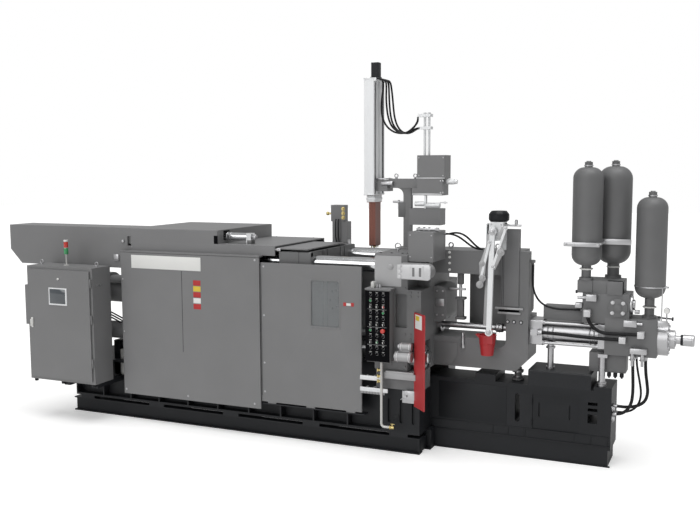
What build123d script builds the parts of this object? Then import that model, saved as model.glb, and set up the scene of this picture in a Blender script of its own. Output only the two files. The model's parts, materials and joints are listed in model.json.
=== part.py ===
"""Cold chamber die casting machine with sprayer and auto ladle.

Millimetres, +X along the machine to the injection end, +Y away from the operator, +Z up.
The origin is on the floor, on the machine's centreline, under the fixed platen.
"""
import os
from math import atan2, degrees, hypot, pi, radians, tan

from build123d import *

os.makedirs("parts", exist_ok=True)

# Heights, from the floor up
floor_beam_height = 200
pad_height = 40
bed_depth = 560
foot_height = 239
tie_edge = 161
tie_pitch = 1105
shot_drop = 227.5
bed_low = floor_beam_height + pad_height
bed_top = bed_low + bed_depth
platen_bottom = bed_top + foot_height
tie_low = platen_bottom + tie_edge
tie_high = tie_low + tie_pitch
platen_top = tie_high + tie_edge
die_axis = (tie_low + tie_high) / 2
shot_axis = die_axis - shot_drop

# Half widths, from the centreline out
platen_half = 740
tie_inset = 185
bed_inset = 70
moving_inset = 40
rear_inset = 30
guard_gap = 80
frame_half = 245
tie_half = platen_half - tie_inset
bed_half = platen_half - bed_inset
moving_half = platen_half - moving_inset
rear_half = platen_half - rear_inset
guard_front = platen_half + guard_gap

# Lengths, from the fixed platen's die face to both ends
fixed_face = -286
fixed_thickness = 425
cheek_depth = 171
bed_nose = 135
die_gap = 884
moving_thickness = 450
toggle_length = 1880
rear_thickness = 400
bed_tail = 1100
fixed_back = fixed_face + fixed_thickness
cheek_back = fixed_back + cheek_depth
bed_right = fixed_back + bed_nose
moving_right = fixed_face - die_gap
moving_left = moving_right - moving_thickness
rear_right = moving_left - toggle_length
rear_left = rear_right - rear_thickness
bed_left = rear_left - bed_tail

# Tie bars and their nuts
tie_radius = 90
nut_radius, nut_length, nut_chamfer = 145, 170, 12
bar_end = 60
bar_past_nut = nut_length + bar_end

# Fits
running = 0.3
bore_clearance = 1
slide_clearance = 5

# Clamp base
beam_width, beam_flange, beam_web = 120, 16, 14
beam_overhang = 45
cross_count, cross_pitch, cross_width = 5, 1200, 120
pad_length = 240
bed_flange = 30
bed_core_inset = 110
rib_thickness, rib_count = 20, 11
nose_plate_length = 474
nose_slot_height, nose_slot_width, nose_slot_depth, nose_slot_count = 300, 40, 25, 3
bed_core_half = bed_half - bed_core_inset

# Injection base
inj_length, inj_top = 2173, 900
base_slot_start, base_slot_width, base_slot_height = 1071, 60, 350
end_window_start, end_window_width = 1935, 111
end_window_heights = ((505, 613), (649, 685), (721, 757))
hatch_start, hatch_width, hatch_height, hatch_depth = 1283, 553, 430, 12
hatch_handle_width, hatch_handle_height, hatch_handle_depth = 20, 170, 18
hatch_handle_shares = (0.15, 0.8)
end_post_lap, end_post_proud, end_post_rise, end_top_lap = 123, 29, 45, 176
frame_pad_start, frame_pad_length, frame_pad_height = 576, 250, 85
cover_start, cover_length, cover_height, cover_chamfer = 10, 740, 185, 15
window_lift, hatch_drop = 55, 30
inj_half = frame_half
inj_right = bed_right + inj_length

# Platens
foot_inner, foot_width = 380, 310
cheek_half = 385
belt_low, belt_high = 361, 1001
pocket_inset, pocket_width, pocket_low, pocket_high, pocket_depth = 271, 145, 536, 946, 60
corner_round = 20
hub_length, hub_low, hub_high, hub_round = 150, 551, 1001, 90
slot_neck, slot_head, slot_neck_depth, slot_head_depth = 28, 46, 28, 20
slot_places = (-335, -205, 205, 335)
sleeve_radius, sleeve_bore = 100, 55
moving_drop = 21
rear_drop = 81
ejector_radius, ejector_depth, ejector_circle, ejector_count = 22, 60, 130, 6
ejector_start = 30
moving_top = platen_top - moving_drop
rear_top = platen_top - rear_drop
hub_right = cheek_back + hub_length

# Closing cylinder behind the rear platen
closing_radius, closing_flange, closing_flange_length = 170, 260, 90
closing_length, closing_head, closing_head_length = 910, 210, 90
closing_bolt_circle, closing_bolt_radius, closing_bolt_count = 220, 22, 8

# Guards and the safety door
guard_lap = 128
guard_low_drop, guard_drop, sheet = 413, 81, 20
guard_round = 14
door_clear, door_length, door_step, door_thickness = 154, 1410, 28, 26
door_low_drop, door_drop, door_round = 313, 166, 25
window_inset, window_width, window_low, window_height = 302, 382, 726, 574
window_sheet = 10
rail_thickness, rail_start, rail_end, rail_gap = 15, 1450, 40, 5
roller_inset, roller_width, roller_step = 150, 120, 3
bracket_height, bracket_width, bracket_edge = 50, 80, 10
guard_left = rear_left - guard_lap
door_right = fixed_face - door_clear
door_left = door_right - door_length
guard_right = door_left
guard_low = bed_top - guard_low_drop
guard_high = platen_top - guard_drop
door_low = bed_top - door_low_drop
door_high = platen_top - door_drop
door_front = guard_front - door_step
rail_top = guard_low + bracket_edge + bracket_height + rail_gap + rail_thickness

# Covers on top of the clamp unit
deck_gap, deck_rise, deck_sheet, skirt_thickness = 40, 44, 15, 18
lift_length, lift_height, lift_round = 1390, 180, 12
lift_pocket_length, lift_pocket_width, lift_pocket_rise = 300, 160, 40
cover_rod_radius, cover_rod_out, cover_rod_y, cover_rod_rise = 49.7, 330, 510, 90
rod_stand_length, rod_stand_width, rod_stand_height = 70, 100, 140
plate_lap, plate_length, plate_thickness, plate_rise = 40, 460, 15, 25
plate_front, plate_back, plate_leg = 712, 400, 120
plate_leg_places = (-500, 200)
duct_length, duct_height, duct_slope, duct_depth = 2170, 559, 205, 464
duct_slot_height, duct_slot_width, duct_slot_depth = 130, 60, 30
deck_right = moving_left - deck_gap
deck_top = platen_top + deck_rise
lift_right = rear_left + lift_length
lift_top = deck_top + lift_height

# Control cabinet
cab_gap, cab_width, cab_stand_off, cab_depth = 180, 1132, 145, 385
cab_low, cab_height = 563, 1600
cab_door_edge, cab_door_thickness, cab_door_gap, cab_round = 40, 20, 5, 10
hinge_inset, hinge_out, hinge_radius, hinge_height = 22, 15, 10, 60
hinge_places = (237, 837, 1337)
screen_start, screen_width, screen_low, screen_height, screen_thick = 400, 315, 1072, 240, 12
bracket_block, bracket_thick = 100, 60
side_box_depth, side_box_width, side_box_height, side_box_low = 90, 220, 560, 760
tower_inset, tower_back, tower_flange, tower_pole, tower_lamp = 530, 200, 40, 9, 28
tower_pole_height, tower_lamp_height, tower_rings = 227, 130, 3
cab_right = guard_left - cab_gap
cab_left = cab_right - cab_width
cab_back = bed_half + cab_stand_off
cab_front = cab_back + cab_depth
cab_high = cab_low + cab_height

# Operator panel, its pipe and the small things on the fixed platen's front
panel_inset, panel_width, panel_depth, panel_height = 40, 293, 160, 875
panel_lap, panel_cap = 20, 20
panel_drop, panel_round = 265, 10
pipe_radius, pipe_bend, pipe_drop, pipe_inset, pipe_run = 15, 40, 815, 160, 110
unit_start, unit_depth, unit_half_height = 305, 160, 92
upper_unit_length, upper_unit_drop, unit_back = 471, 25, 60
low_cylinders = ((307, 39, 63), (358, 163, 42))
low_cylinder_end, low_cylinder_out, low_cylinder_foot, low_cylinder_head = 512, 80, -8, 200
box_length, box_front, box_low, box_height, box_step = 316, 720, 83, 357, 5
guard_plate_height, guard_plate_low, guard_plate_back = 1150, 175, 80
guard_plate_run, guard_plate_thick = 188, 12
guard_tab_height, guard_tab_length = 355, 25

# C-shaped injection frame
frame_low_rise, frame_height = 150, 1440
window_floor_drop, window_height_c, window_length = 110, 792, 912
upright_width, heel, heel_rise = 268, 140, 145
column_lap, column_width, column_low, column_rise = 62, 214, 315, 277
column_proud, column_sunk, shoulder_rise = 20, 60, 10
cut_back, cut_low, front_plate = 100, 180, 125
rear_cover_bulge, rear_cover_half, rear_cover_gap = 90, 100, 10
rear_cover_round, rear_cover_rise = 70, 660
window_round, window_low_round, pit_length, pit_depth = 60, 90, 240, 95
web_thickness, web_start = 40, 330
foot_radius, foot_plate, foot_plate_height, foot_inset = 45, 75, 25, 165
cap_length, cap_width, cap_height, cap_inset, cap_y, cap_gap = 60, 100, 40, 540, 250, 100
plug_width, plug_height, plug_out, plug_y, plug_low = 50, 35, 50, 150, 125
frame_low = inj_top + frame_low_rise
frame_high = frame_low + frame_height
window_floor = shot_axis - window_floor_drop
window_roof = window_floor + window_height_c
upright_left = cheek_back + window_length
upright_right = upright_left + upright_width

# Shot end
sleeve_out = 40
plunger_radius, plunger_tip, plunger_tip_length, plunger_back = 38, 54, 60, 60
coupling_radius, coupling_length, coupling_gap = 56, 110, 82
head_half, head_length, head_chamfer = 150, 150, 12
tube_radius, tube_length, rear_head_length = 122, 650, 80
tie_rod_radius, tie_rod_offset = 18, 122
bore_end_gap = 140
rod_out = 610
valve_half, valve_round = 200, 15
top_block_start, top_block_length, top_block_height = 560, 510, 150
mid_block_start, mid_block_length, mid_block_rise, mid_block_height = 620, 580, 165, 350
end_block_start, end_block_length, end_block_drop, end_block_height = 880, 580, 195, 430
low_block_start, low_block_length, low_block_half, low_block_height = 700, 420, 118, 225
duct_half, duct_run_height = 90, 100
face_flange_radius, face_flange_depth = 110, 30
cap_flange, cap_flange_length = 190, 110
cap_step, cap_step_length = 108, 70
cap_neck, cap_neck_length = 48, 90
cap_stub, cap_stub_length = 66, 120
support_places, support_radii = (238, 857), (38, 38)
jack_lines, jack_plate_left, jack_plate_right, jack_plate_height = (-52, -158), 45, 62, 40
saddle_half, saddle_height = 48, 23
hose_block, hose_block_depth = 70, 90
shot_plug_start, shot_plug_length, shot_plug_depth = 30, 80, 100
shot_plug_low, shot_plug_height = 20, 70
first_plug, second_plug = (2177, 1850), (2578, 1489)
third_plug = (2778, 1561)
cap_chamfer, saddle_extra = 10, 14

# Accumulators: place along and across, height, radius, neck radius and neck height
front_bottle = (649, -150, 1367, 172, 55, 170)
back_bottle = (908, 200, 1377, 195, 70, 170)
end_bottle = (1350, 0, 1455, 172, 55, 235)
crown_height, crown_radius, ring_height, ring_extra = 60, 45, 30, 25

# Spray unit
mast_reach, mast_depth, mast_half = 239, 134, 175
mast_rise, mast_height, mast_groove, mast_rib, mast_groove_count = 684, 1477, 22, 30, 3
motor_half, motor_height, motor_flange, motor_lip, motor_shift = 50, 202, 22, 8, 27
flange_height, flange_half, flange_edge = 93, 120, 14
manifold_half, manifold_edge, manifold_height = 92, 31, 563
arm_rise, arm_depth, arm_half, arm_left, arm_right = 776, 118, 60, 84, 322
post_width, post_half, post_start, base_height = 100, 40, 111, 24
gusset, platform_half, bracket_half, guide_drop = 90, 130, 100, 42
box_long, box_short, boxes_half, upper_box_height = 364, 334, 120, 292
strip_height, lower_box_length, lower_box_drop, lower_box_height = 88, 415, 461, 207
plug_bar_out, plug_bar_height = 30, 40
tube_places, post_radius, post_height = (60, 115), 16, 522
high_bar, low_bar, bar_thickness = 478, 323, 35
bar_reach, bar_half, high_bar_half, high_bar_lap, low_bar_start = 150, 45, 65, 20, 4

# Valve post on the moving platen
valve_left, valve_width, valve_y, valve_depth = 220, 220, 450, 150
valve_height, valve_top_width, valve_top_shift, valve_top_height = 320, 190, 20, 225

# Auto ladle
ladle_inset, ladle_rise, ladle_y, arm_thickness = 102, 260, 520, 40
arm_reach, arm_lean, arm_half_width, arm_boss = 1190, 30, 30, 45
pivot_radius, cup_pin_radius = 20, 18
link_thickness, link_half, link_boss = 14, 14, 24
gear_left, gear_width, gear_depth, gear_drop, gear_height = 60, 170, 185, 110, 222
mount_start, mount_length, mount_height, mount_low = -62, 60, 240, 30
motor_radius, motor_length = 100, 122
cup_radius, cup_low_radius, cup_wall, cup_depth, cup_y, cup_pin_out = 105, 75, 10, 250, 380, 28
cup_shift, cup_drop, cup_floor, hanger_half, hanger_thick = 60, 60, 12, 35, 20
spout_reach, spout_half = 34, 38
left_link, right_link = ((-28, -120), (-125, -538)), ((160, 50), (15, -405))

# Hoses
thin_hose, thick_hose, hanging_hose, thin_hanging_hose = 18, 40, 36, 25


def block(x0, x1, y0, y1, z0, z1, mode=Mode.ADD):
    """A box between two corners, added to the open part."""
    with Locations(((x0 + x1) / 2, (y0 + y1) / 2, (z0 + z1) / 2)):
        Box(x1 - x0, y1 - y0, z1 - z0, mode=mode)


def pair(x0, x1, inner, outer, z0, z1, mode=Mode.ADD):
    """Two like boxes, one on each side of the centreline."""
    block(x0, x1, -outer, -inner, z0, z1, mode)
    block(x0, x1, inner, outer, z0, z1, mode)


def rod_x(x0, x1, y, z, radius, mode=Mode.ADD):
    """A round bar along X."""
    with Locations(Location(((x0 + x1) / 2, y, z), (0, 90, 0))):
        Cylinder(radius, x1 - x0, mode=mode)


def rod_y(y0, y1, x, z, radius, mode=Mode.ADD):
    """A round bar along Y."""
    with Locations(Location((x, (y0 + y1) / 2, z), (90, 0, 0))):
        Cylinder(radius, y1 - y0, mode=mode)


def rod_z(z0, z1, x, y, radius, mode=Mode.ADD):
    """A round bar along Z."""
    with Locations((x, y, (z0 + z1) / 2)):
        Cylinder(radius, z1 - z0, mode=mode)


def save(piece, name):
    """Label a finished piece and write it out."""
    piece.part.label = name
    export_step(piece.part, f"parts/{name}.step")


tie_places = [(y, z) for z in (tie_low, tie_high) for y in (-tie_half, tie_half)]
rib_pitch = (bed_right - nose_plate_length - bed_left - rib_thickness) / (rib_count - 1)
rib_places = [bed_left + rib_thickness / 2 + i * rib_pitch for i in range(rib_count)]
cross_places = [-i * cross_pitch for i in range(cross_count)]

# Floor beams under the clamp unit: two rolled I sections
with BuildPart() as clamp_skid:
    for side in (-1, 1):
        beam_y = side * (bed_half - beam_width / 2)
        with BuildSketch(Plane.YZ.offset(bed_left - beam_overhang)):
            with Locations((beam_y, floor_beam_height / 2)):
                Rectangle(beam_width, floor_beam_height)
            for lean in (-1, 1):
                with Locations((beam_y + lean * (beam_web + beam_width) / 4, floor_beam_height / 2)):
                    Rectangle((beam_width - beam_web) / 2, floor_beam_height - 2 * beam_flange,
                              mode=Mode.SUBTRACT)
        extrude(amount=bed_right - bed_left + beam_overhang)
save(clamp_skid, "clamp_skid")

# Cross beams between them
with BuildPart() as cross_beams:
    for x in cross_places:
        block(x - cross_width / 2, x + cross_width / 2, beam_width - bed_half, bed_half - beam_width,
              0, floor_beam_height)
save(cross_beams, "cross_beams")

# Levelling pads over the cross beams
with BuildPart() as bed_pads:
    for x in cross_places:
        pair(x - pad_length / 2, x + pad_length / 2, bed_half - beam_width, bed_half,
             floor_beam_height, bed_low)
save(bed_pads, "bed_pads")

# Bed: one welded girder with two flanges
with BuildPart() as clamp_bed:
    with BuildSketch(Plane.YZ.offset(bed_left)):
        with Locations((0, (bed_low + bed_top) / 2)):
            Rectangle(2 * bed_half, bed_depth)
        for side in (-1, 1):
            with Locations((side * (bed_half - bed_core_inset / 2), (bed_low + bed_top) / 2)):
                Rectangle(bed_core_inset, bed_depth - 2 * bed_flange, mode=Mode.SUBTRACT)
    extrude(amount=bed_right - bed_left)
save(clamp_bed, "clamp_bed")

# Ribs in its sides, and the closed nose under the fixed platen
rib_span = (bed_low + bed_flange, bed_top - bed_flange)
nose_left = bed_right - nose_plate_length
with BuildPart() as bed_ribs:
    for x in rib_places:
        pair(x - rib_thickness / 2, x + rib_thickness / 2, bed_core_half, bed_half, *rib_span)
    pair(nose_left, bed_right, bed_core_half, bed_half, *rib_span)
    for i in range(nose_slot_count):
        slot_x = nose_left + (i + 0.5) * nose_plate_length / nose_slot_count
        for plane in (Plane.XZ.offset(bed_half), Plane.XZ.offset(-bed_half)):
            with BuildSketch(plane):
                with Locations((slot_x, bed_low + bed_depth / 2)):
                    SlotOverall(nose_slot_height, nose_slot_width, rotation=90)
            depth = nose_slot_depth if plane.origin.Y > 0 else -nose_slot_depth
            extrude(amount=depth, mode=Mode.SUBTRACT)
save(bed_ribs, "bed_ribs")

# Injection base on its own floor beams, with windows right through it
with BuildPart() as injection_base:
    with BuildSketch(Plane.XZ.offset(inj_half)):
        with BuildLine():
            Polyline((bed_right, floor_beam_height), (inj_right, floor_beam_height),
                     (inj_right, inj_top), (bed_right, inj_top), close=True)
        make_face()
        slot_mid = (floor_beam_height + inj_top) / 2 + window_lift
        with Locations((bed_right + base_slot_start + base_slot_width / 2, slot_mid)):
            SlotOverall(base_slot_height, base_slot_width, rotation=90, mode=Mode.SUBTRACT)
        for low, high in end_window_heights:
            with Locations((bed_right + end_window_start + end_window_width / 2, (low + high) / 2)):
                Rectangle(end_window_width, high - low, mode=Mode.SUBTRACT)
    extrude(amount=-2 * inj_half)
    pair(bed_right, inj_right, inj_half - beam_width, inj_half, 0, floor_beam_height)
    for x in (bed_right, inj_right - beam_width):
        block(x, x + beam_width, -inj_half, inj_half, 0, floor_beam_height)
    block(inj_right - end_post_lap, inj_right + end_post_proud, -inj_half, inj_half,
          floor_beam_height, inj_top)
    block(inj_right - end_top_lap, inj_right + end_post_proud, -inj_half, inj_half,
          inj_top, inj_top + end_post_rise)
    pad_x = bed_right + frame_pad_start
    block(pad_x, pad_x + frame_pad_length, -frame_half, frame_half, inj_top,
          inj_top + frame_pad_height)
    hatch_x = bed_right + hatch_start
    hatch_mid = (floor_beam_height + inj_top) / 2 + window_lift
    with BuildSketch(Plane.XZ.offset(inj_half)):
        with Locations((hatch_x + hatch_width / 2, hatch_mid - hatch_drop)):
            RectangleRounded(hatch_width, hatch_height, hatch_depth)
    extrude(amount=-hatch_depth, mode=Mode.SUBTRACT)
    with BuildSketch(Plane.XZ.offset(inj_half - hatch_depth)):
        for share in hatch_handle_shares:
            with Locations((hatch_x + share * hatch_width, hatch_mid)):
                SlotOverall(hatch_handle_height, hatch_handle_width, rotation=90)
    extrude(amount=-hatch_handle_depth, mode=Mode.SUBTRACT)
save(injection_base, "injection_base")

with BuildPart() as base_cover:
    cover_left = upright_right + cover_start
    block(cover_left, cover_left + cover_length, -inj_half, inj_half, inj_top, inj_top + cover_height)
    chamfer(base_cover.edges().filter_by(Axis.X).group_by(Axis.Z)[-1], cover_chamfer)
save(base_cover, "base_cover")


def tie_holes(left, right):
    """The four holes that the tie bars pass through."""
    for y, z in tie_places:
        rod_x(left, right, y, z, tie_radius + bore_clearance, mode=Mode.SUBTRACT)


def t_slots(face, height):
    """Upright slots for the die clamps, cut along the moving platen's die face."""
    for y in slot_places:
        with BuildSketch(Plane.XY.offset(platen_bottom)) as slot:
            depth = slot_neck_depth + slot_head_depth
            with Locations((face - slot_neck_depth / 2, y)):
                Rectangle(slot_neck_depth, slot_neck)
            with Locations((face - depth + slot_head_depth / 2, y)):
                Rectangle(slot_head_depth, slot_head)
        extrude(slot.sketch, amount=height, mode=Mode.SUBTRACT)


# Fixed platen: cheeks behind its die face and a rounded hub towards the shot end
with BuildPart() as fixed_platen:
    block(fixed_face, fixed_back, -platen_half, platen_half, platen_bottom, platen_top)
    fillet(fixed_platen.edges().filter_by(Axis.X), corner_round)
    block(fixed_back, cheek_back, -cheek_half, cheek_half, platen_bottom, platen_top)
    block(fixed_back, cheek_back, -platen_half, platen_half, platen_bottom + belt_low,
          platen_bottom + belt_high)
    pair(fixed_face, cheek_back, foot_inner, foot_inner + foot_width, bed_top, platen_bottom)
    pair(fixed_face + pocket_inset, fixed_face + pocket_inset + pocket_width,
         platen_half - pocket_depth, platen_half, platen_bottom + pocket_low,
         platen_bottom + pocket_high, Mode.SUBTRACT)
    tie_holes(fixed_face, fixed_back)
    with BuildSketch(Plane.XZ.offset(frame_half)):
        with Locations((cheek_back + hub_length / 2, platen_bottom + (hub_low + hub_high) / 2)):
            Rectangle(hub_length, hub_high - hub_low)
    extrude(amount=-2 * frame_half)
    fillet(fixed_platen.edges().filter_by(Axis.Y).group_by(Axis.X)[-1], hub_round)
    rod_x(fixed_face, hub_right, 0, shot_axis, sleeve_radius, mode=Mode.SUBTRACT)
save(fixed_platen, "fixed_platen")

with BuildPart() as moving_platen:
    block(moving_left, moving_right, -moving_half, moving_half, platen_bottom, moving_top)
    fillet(moving_platen.edges().filter_by(Axis.X), corner_round)
    pair(moving_left, moving_right, foot_inner, foot_inner + foot_width,
         bed_top + slide_clearance, platen_bottom)
    tie_holes(moving_left, moving_right)
    t_slots(moving_right, moving_top - platen_bottom)
    with Locations(Location((moving_right, 0, die_axis), (0, 90, 0))):
        with PolarLocations(ejector_circle, ejector_count, start_angle=ejector_start):
            Cylinder(ejector_radius, 2 * ejector_depth, mode=Mode.SUBTRACT)
save(moving_platen, "moving_platen")

with BuildPart() as rear_platen:
    block(rear_left, rear_right, -rear_half, rear_half, platen_bottom, rear_top)
    fillet(rear_platen.edges().filter_by(Axis.X), corner_round)
    pair(rear_left, rear_right, foot_inner, foot_inner + foot_width, bed_top, platen_bottom)
    tie_holes(rear_left, rear_right)
save(rear_platen, "rear_platen")

with BuildPart() as tie_bars:
    for y, z in tie_places:
        rod_x(rear_left - bar_past_nut, fixed_back + bar_past_nut, y, z, tie_radius)
    chamfer(tie_bars.edges().filter_by(GeomType.CIRCLE), nut_chamfer)
save(tie_bars, "tie_bars")

with BuildPart() as tie_bar_nuts:
    for y, z in tie_places:
        for x0 in (rear_left - nut_length, fixed_back):
            rod_x(x0, x0 + nut_length, y, z, nut_radius)
    chamfer(tie_bar_nuts.edges().filter_by(GeomType.CIRCLE), nut_chamfer)
    for y, z in tie_places:
        for x0 in (rear_left - nut_length, fixed_back):
            rod_x(x0, x0 + nut_length, y, z, tie_radius, mode=Mode.SUBTRACT)
save(tie_bar_nuts, "tie_bar_nuts")

# Closing cylinder behind the rear platen, bolted on by its flange
with BuildPart() as closing_cylinder:
    flange_left = rear_left - closing_flange_length
    tube_left = flange_left - closing_length + closing_head_length
    rod_x(flange_left, rear_left, 0, die_axis, closing_flange)
    rod_x(tube_left, flange_left, 0, die_axis, closing_radius)
    rod_x(tube_left - closing_head_length, tube_left, 0, die_axis, closing_head)
    with Locations(Location((flange_left, 0, die_axis), (0, 90, 0))):
        with PolarLocations(closing_bolt_circle, closing_bolt_count):
            Cylinder(closing_bolt_radius, closing_bolt_radius, mode=Mode.SUBTRACT)
save(closing_cylinder, "closing_cylinder")


def guard(side, left, right):
    """A sheet guard with a rounded end, a top flange and brackets to the bed's ribs."""
    with BuildSketch(Plane.XY.offset(guard_low)) as profile:
        inner = side * (guard_front - sheet)
        with Locations(((left + right) / 2, side * (guard_front - sheet / 2))):
            Rectangle(right - left, sheet)
        outer_corner = profile.vertices().group_by(Axis.X)[0].sort_by(Axis.Y)[-1 if side > 0 else 0]
        fillet(outer_corner, guard_round)
    extrude(profile.sketch, amount=guard_high - guard_low)
    y0, y1 = sorted((side * guard_front, side * (rear_half + running)))
    block(rear_left, right, y0, y1, guard_high - sheet, guard_high)
    y0, y1 = sorted((inner, side * bed_half))
    for x in rib_places:
        if left + bracket_width / 2 < x < right - bracket_width / 2:
            block(x - bracket_width / 2, x + bracket_width / 2, y0, y1, guard_low + bracket_edge,
                  guard_low + bracket_edge + bracket_height)


with BuildPart() as front_guard:
    guard(-1, guard_left, guard_right)
save(front_guard, "front_guard")

with BuildPart() as rear_guard:
    guard(1, guard_left, door_right)
save(rear_guard, "rear_guard")

# Safety door, which runs on rollers on its rail behind the front guard
window_left = door_right - window_inset - window_width
with BuildPart() as safety_door:
    with BuildSketch(Plane.XZ.offset(door_front - door_thickness)):
        with Locations(((door_left + door_right) / 2, (door_low + door_high) / 2)):
            Rectangle(door_length, door_high - door_low)
        with Locations((window_left + window_width / 2, bed_top + window_low + window_height / 2)):
            RectangleRounded(window_width, window_height, door_round, mode=Mode.SUBTRACT)
    extrude(amount=door_thickness)
    for x in (door_left + roller_inset, (door_left + door_right) / 2, door_right - roller_inset):
        block(x - roller_width / 2, x + roller_width / 2, roller_step - door_front,
              door_thickness - roller_step - door_front, rail_top + running, door_low)
save(safety_door, "safety_door")

with BuildPart() as door_window:
    with BuildSketch(Plane.XZ.offset(door_front - (door_thickness + window_sheet) / 2)):
        with Locations((window_left + window_width / 2, bed_top + window_low + window_height / 2)):
            RectangleRounded(window_width, window_height, door_round)
    extrude(amount=window_sheet)
save(door_window, "door_window")

with BuildPart() as door_rail:
    block(door_left - rail_start, door_right + rail_end, -door_front, -bed_half,
          rail_top - rail_thickness, rail_top)
save(door_rail, "door_rail")

# Covers on top of the clamp unit
with BuildPart() as top_deck:
    block(rear_left, deck_right, -platen_half, platen_half, deck_top - deck_sheet, deck_top)
    pair(rear_left, deck_right, platen_half - skirt_thickness, platen_half, guard_high,
         deck_top - deck_sheet)
save(top_deck, "top_deck")

pocket_floor = deck_top + lift_pocket_rise
with BuildPart() as lift_cover:
    block(rear_left, lift_right, -platen_half, platen_half, deck_top, lift_top)
    fillet(lift_cover.edges().filter_by(Axis.X).group_by(Axis.Z)[-1], lift_round)
    block(lift_right - lift_pocket_length, lift_right, -cover_rod_y - lift_pocket_width / 2,
          -cover_rod_y + lift_pocket_width / 2, pocket_floor, lift_top - lift_round, Mode.SUBTRACT)
save(lift_cover, "lift_cover")

with BuildPart() as cover_cylinder:
    rod_end = lift_right + cover_rod_out
    rod_x(lift_right - lift_pocket_length, rod_end, -cover_rod_y, deck_top + cover_rod_rise,
          cover_rod_radius)
    block(rod_end, rod_end + rod_stand_length, -cover_rod_y - rod_stand_width / 2,
          -cover_rod_y + rod_stand_width / 2, deck_top, deck_top + rod_stand_height)
save(cover_cylinder, "cover_cylinder")

with BuildPart() as sliding_plate:
    block(moving_left - plate_lap, moving_left - plate_lap + plate_length, -plate_front, plate_back,
          moving_top + plate_rise, moving_top + plate_rise + plate_thickness)
    leg_left = moving_left + plate_leg / 2
    for y in plate_leg_places:
        block(leg_left, moving_right - plate_leg, y - plate_leg / 2, y + plate_leg / 2,
              moving_top, moving_top + plate_rise)
save(sliding_plate, "sliding_plate")

duct_left = rear_left - duct_length
duct_low = lift_top - duct_height
with BuildPart() as rear_duct:
    with BuildSketch(Plane.XZ.offset(platen_half)):
        with BuildLine():
            Polyline((duct_left, lift_top), (rear_left, lift_top), (rear_left, duct_low),
                     (duct_left + duct_slope, duct_low), (duct_left, duct_low + duct_slope), close=True)
        make_face()
    extrude(amount=-duct_depth)
    block(rear_left - bar_past_nut - bar_end, rear_left, -tie_half - tie_edge, duct_depth - platen_half,
          duct_low, tie_high + nut_radius + sheet, Mode.SUBTRACT)
    block(rear_left - duct_slot_width, rear_left, -platen_half, duct_slot_depth - platen_half,
          lift_top - lift_height - duct_slot_height / 2, lift_top - lift_height + duct_slot_height / 2,
          Mode.SUBTRACT)
save(rear_duct, "rear_duct")

# Control cabinet on brackets beside the bed
hinge_x, hinge_y = cab_right - hinge_inset, -cab_front - hinge_out
leaf = hinge_radius / 2
with BuildPart() as control_cabinet:
    block(cab_left, cab_right, -cab_front, -cab_back, cab_low, cab_high)
    fillet(control_cabinet.edges().filter_by(Axis.Z).group_by(Axis.Y)[-1], cab_round)
    side_box_foot = cab_low + side_box_low
    block(cab_left - side_box_depth, cab_left, -cab_front + cab_door_edge,
          -cab_front + cab_door_edge + side_box_width, side_box_foot,
          side_box_foot + side_box_height)
    for rise in hinge_places:
        rod_z(cab_low + rise, cab_low + rise + hinge_height, hinge_x, hinge_y, hinge_radius)
        block(hinge_x - leaf, hinge_x + leaf, hinge_y, -cab_front, cab_low + rise,
              cab_low + rise + hinge_height)
save(control_cabinet, "control_cabinet")

door_face = -cab_front - cab_door_gap - cab_door_thickness
with BuildPart() as cabinet_door:
    block(cab_left + cab_door_edge, hinge_x - hinge_radius - leaf, door_face, door_face + cab_door_thickness,
          cab_low + cab_door_edge, cab_high - cab_door_edge)
    fillet(cabinet_door.edges().filter_by(Axis.Y), cab_round)
    for rise in hinge_places:
        low = cab_low + rise + hinge_height + running
        rod_z(low, low + hinge_height, hinge_x, hinge_y, hinge_radius)
        block(hinge_x - hinge_radius - 2 * leaf, hinge_x, hinge_y - leaf, hinge_y + leaf,
              low, low + hinge_height)
save(cabinet_door, "cabinet_door")

with BuildPart() as cabinet_screen:
    block(cab_left + screen_start, cab_left + screen_start + screen_width, door_face - screen_thick,
          door_face, cab_low + screen_low, cab_low + screen_low + screen_height)
    chamfer(cabinet_screen.faces().sort_by(Axis.Y)[0].edges(), screen_thick / 2)
save(cabinet_screen, "cabinet_screen")

bay_middles = [x + rib_pitch / 2 for x in rib_places]
with BuildPart() as cabinet_bracket:
    for x in bay_middles:
        if cab_left + bracket_block < x < cab_right - bracket_block / 2:
            block(x - bracket_block / 2, x + bracket_block / 2, -cab_front + bracket_thick,
                  -bed_core_half, cab_low - bracket_thick, cab_low)
save(cabinet_bracket, "cabinet_bracket")

lamp_x, lamp_y = cab_left + tower_inset, -cab_front + tower_back
lamp_low = cab_high + tower_pole_height
with BuildPart() as tower_light:
    rod_z(cab_high, cab_high + tower_pole, lamp_x, lamp_y, tower_flange)
    rod_z(cab_high + tower_pole, lamp_low, lamp_x, lamp_y, tower_pole)
    for i in range(tower_rings):
        low = lamp_low + i * tower_lamp_height / tower_rings
        rod_z(low, low + tower_lamp_height / tower_rings, lamp_x, lamp_y,
              tower_lamp - i * tower_pole / 2)
save(tower_light, "tower_light")

# Operator panel and the small pipe below it
panel_left = fixed_face - panel_inset
panel_high = tie_high - panel_drop
with BuildPart() as operator_panel:
    with BuildSketch(Plane.XY.offset(panel_high - panel_height)):
        with Locations((panel_left + panel_width / 2, -platen_half - panel_depth / 2)):
            Rectangle(panel_width, panel_depth)
    extrude(amount=panel_height)
    fillet(operator_panel.edges().filter_by(Axis.Z).group_by(Axis.Y)[0], panel_round)
    block(panel_left - panel_lap, panel_left + panel_width + panel_lap,
          -platen_half - panel_depth - panel_lap / 2, -platen_half, panel_high, panel_high + panel_cap)
save(operator_panel, "operator_panel")

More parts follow.
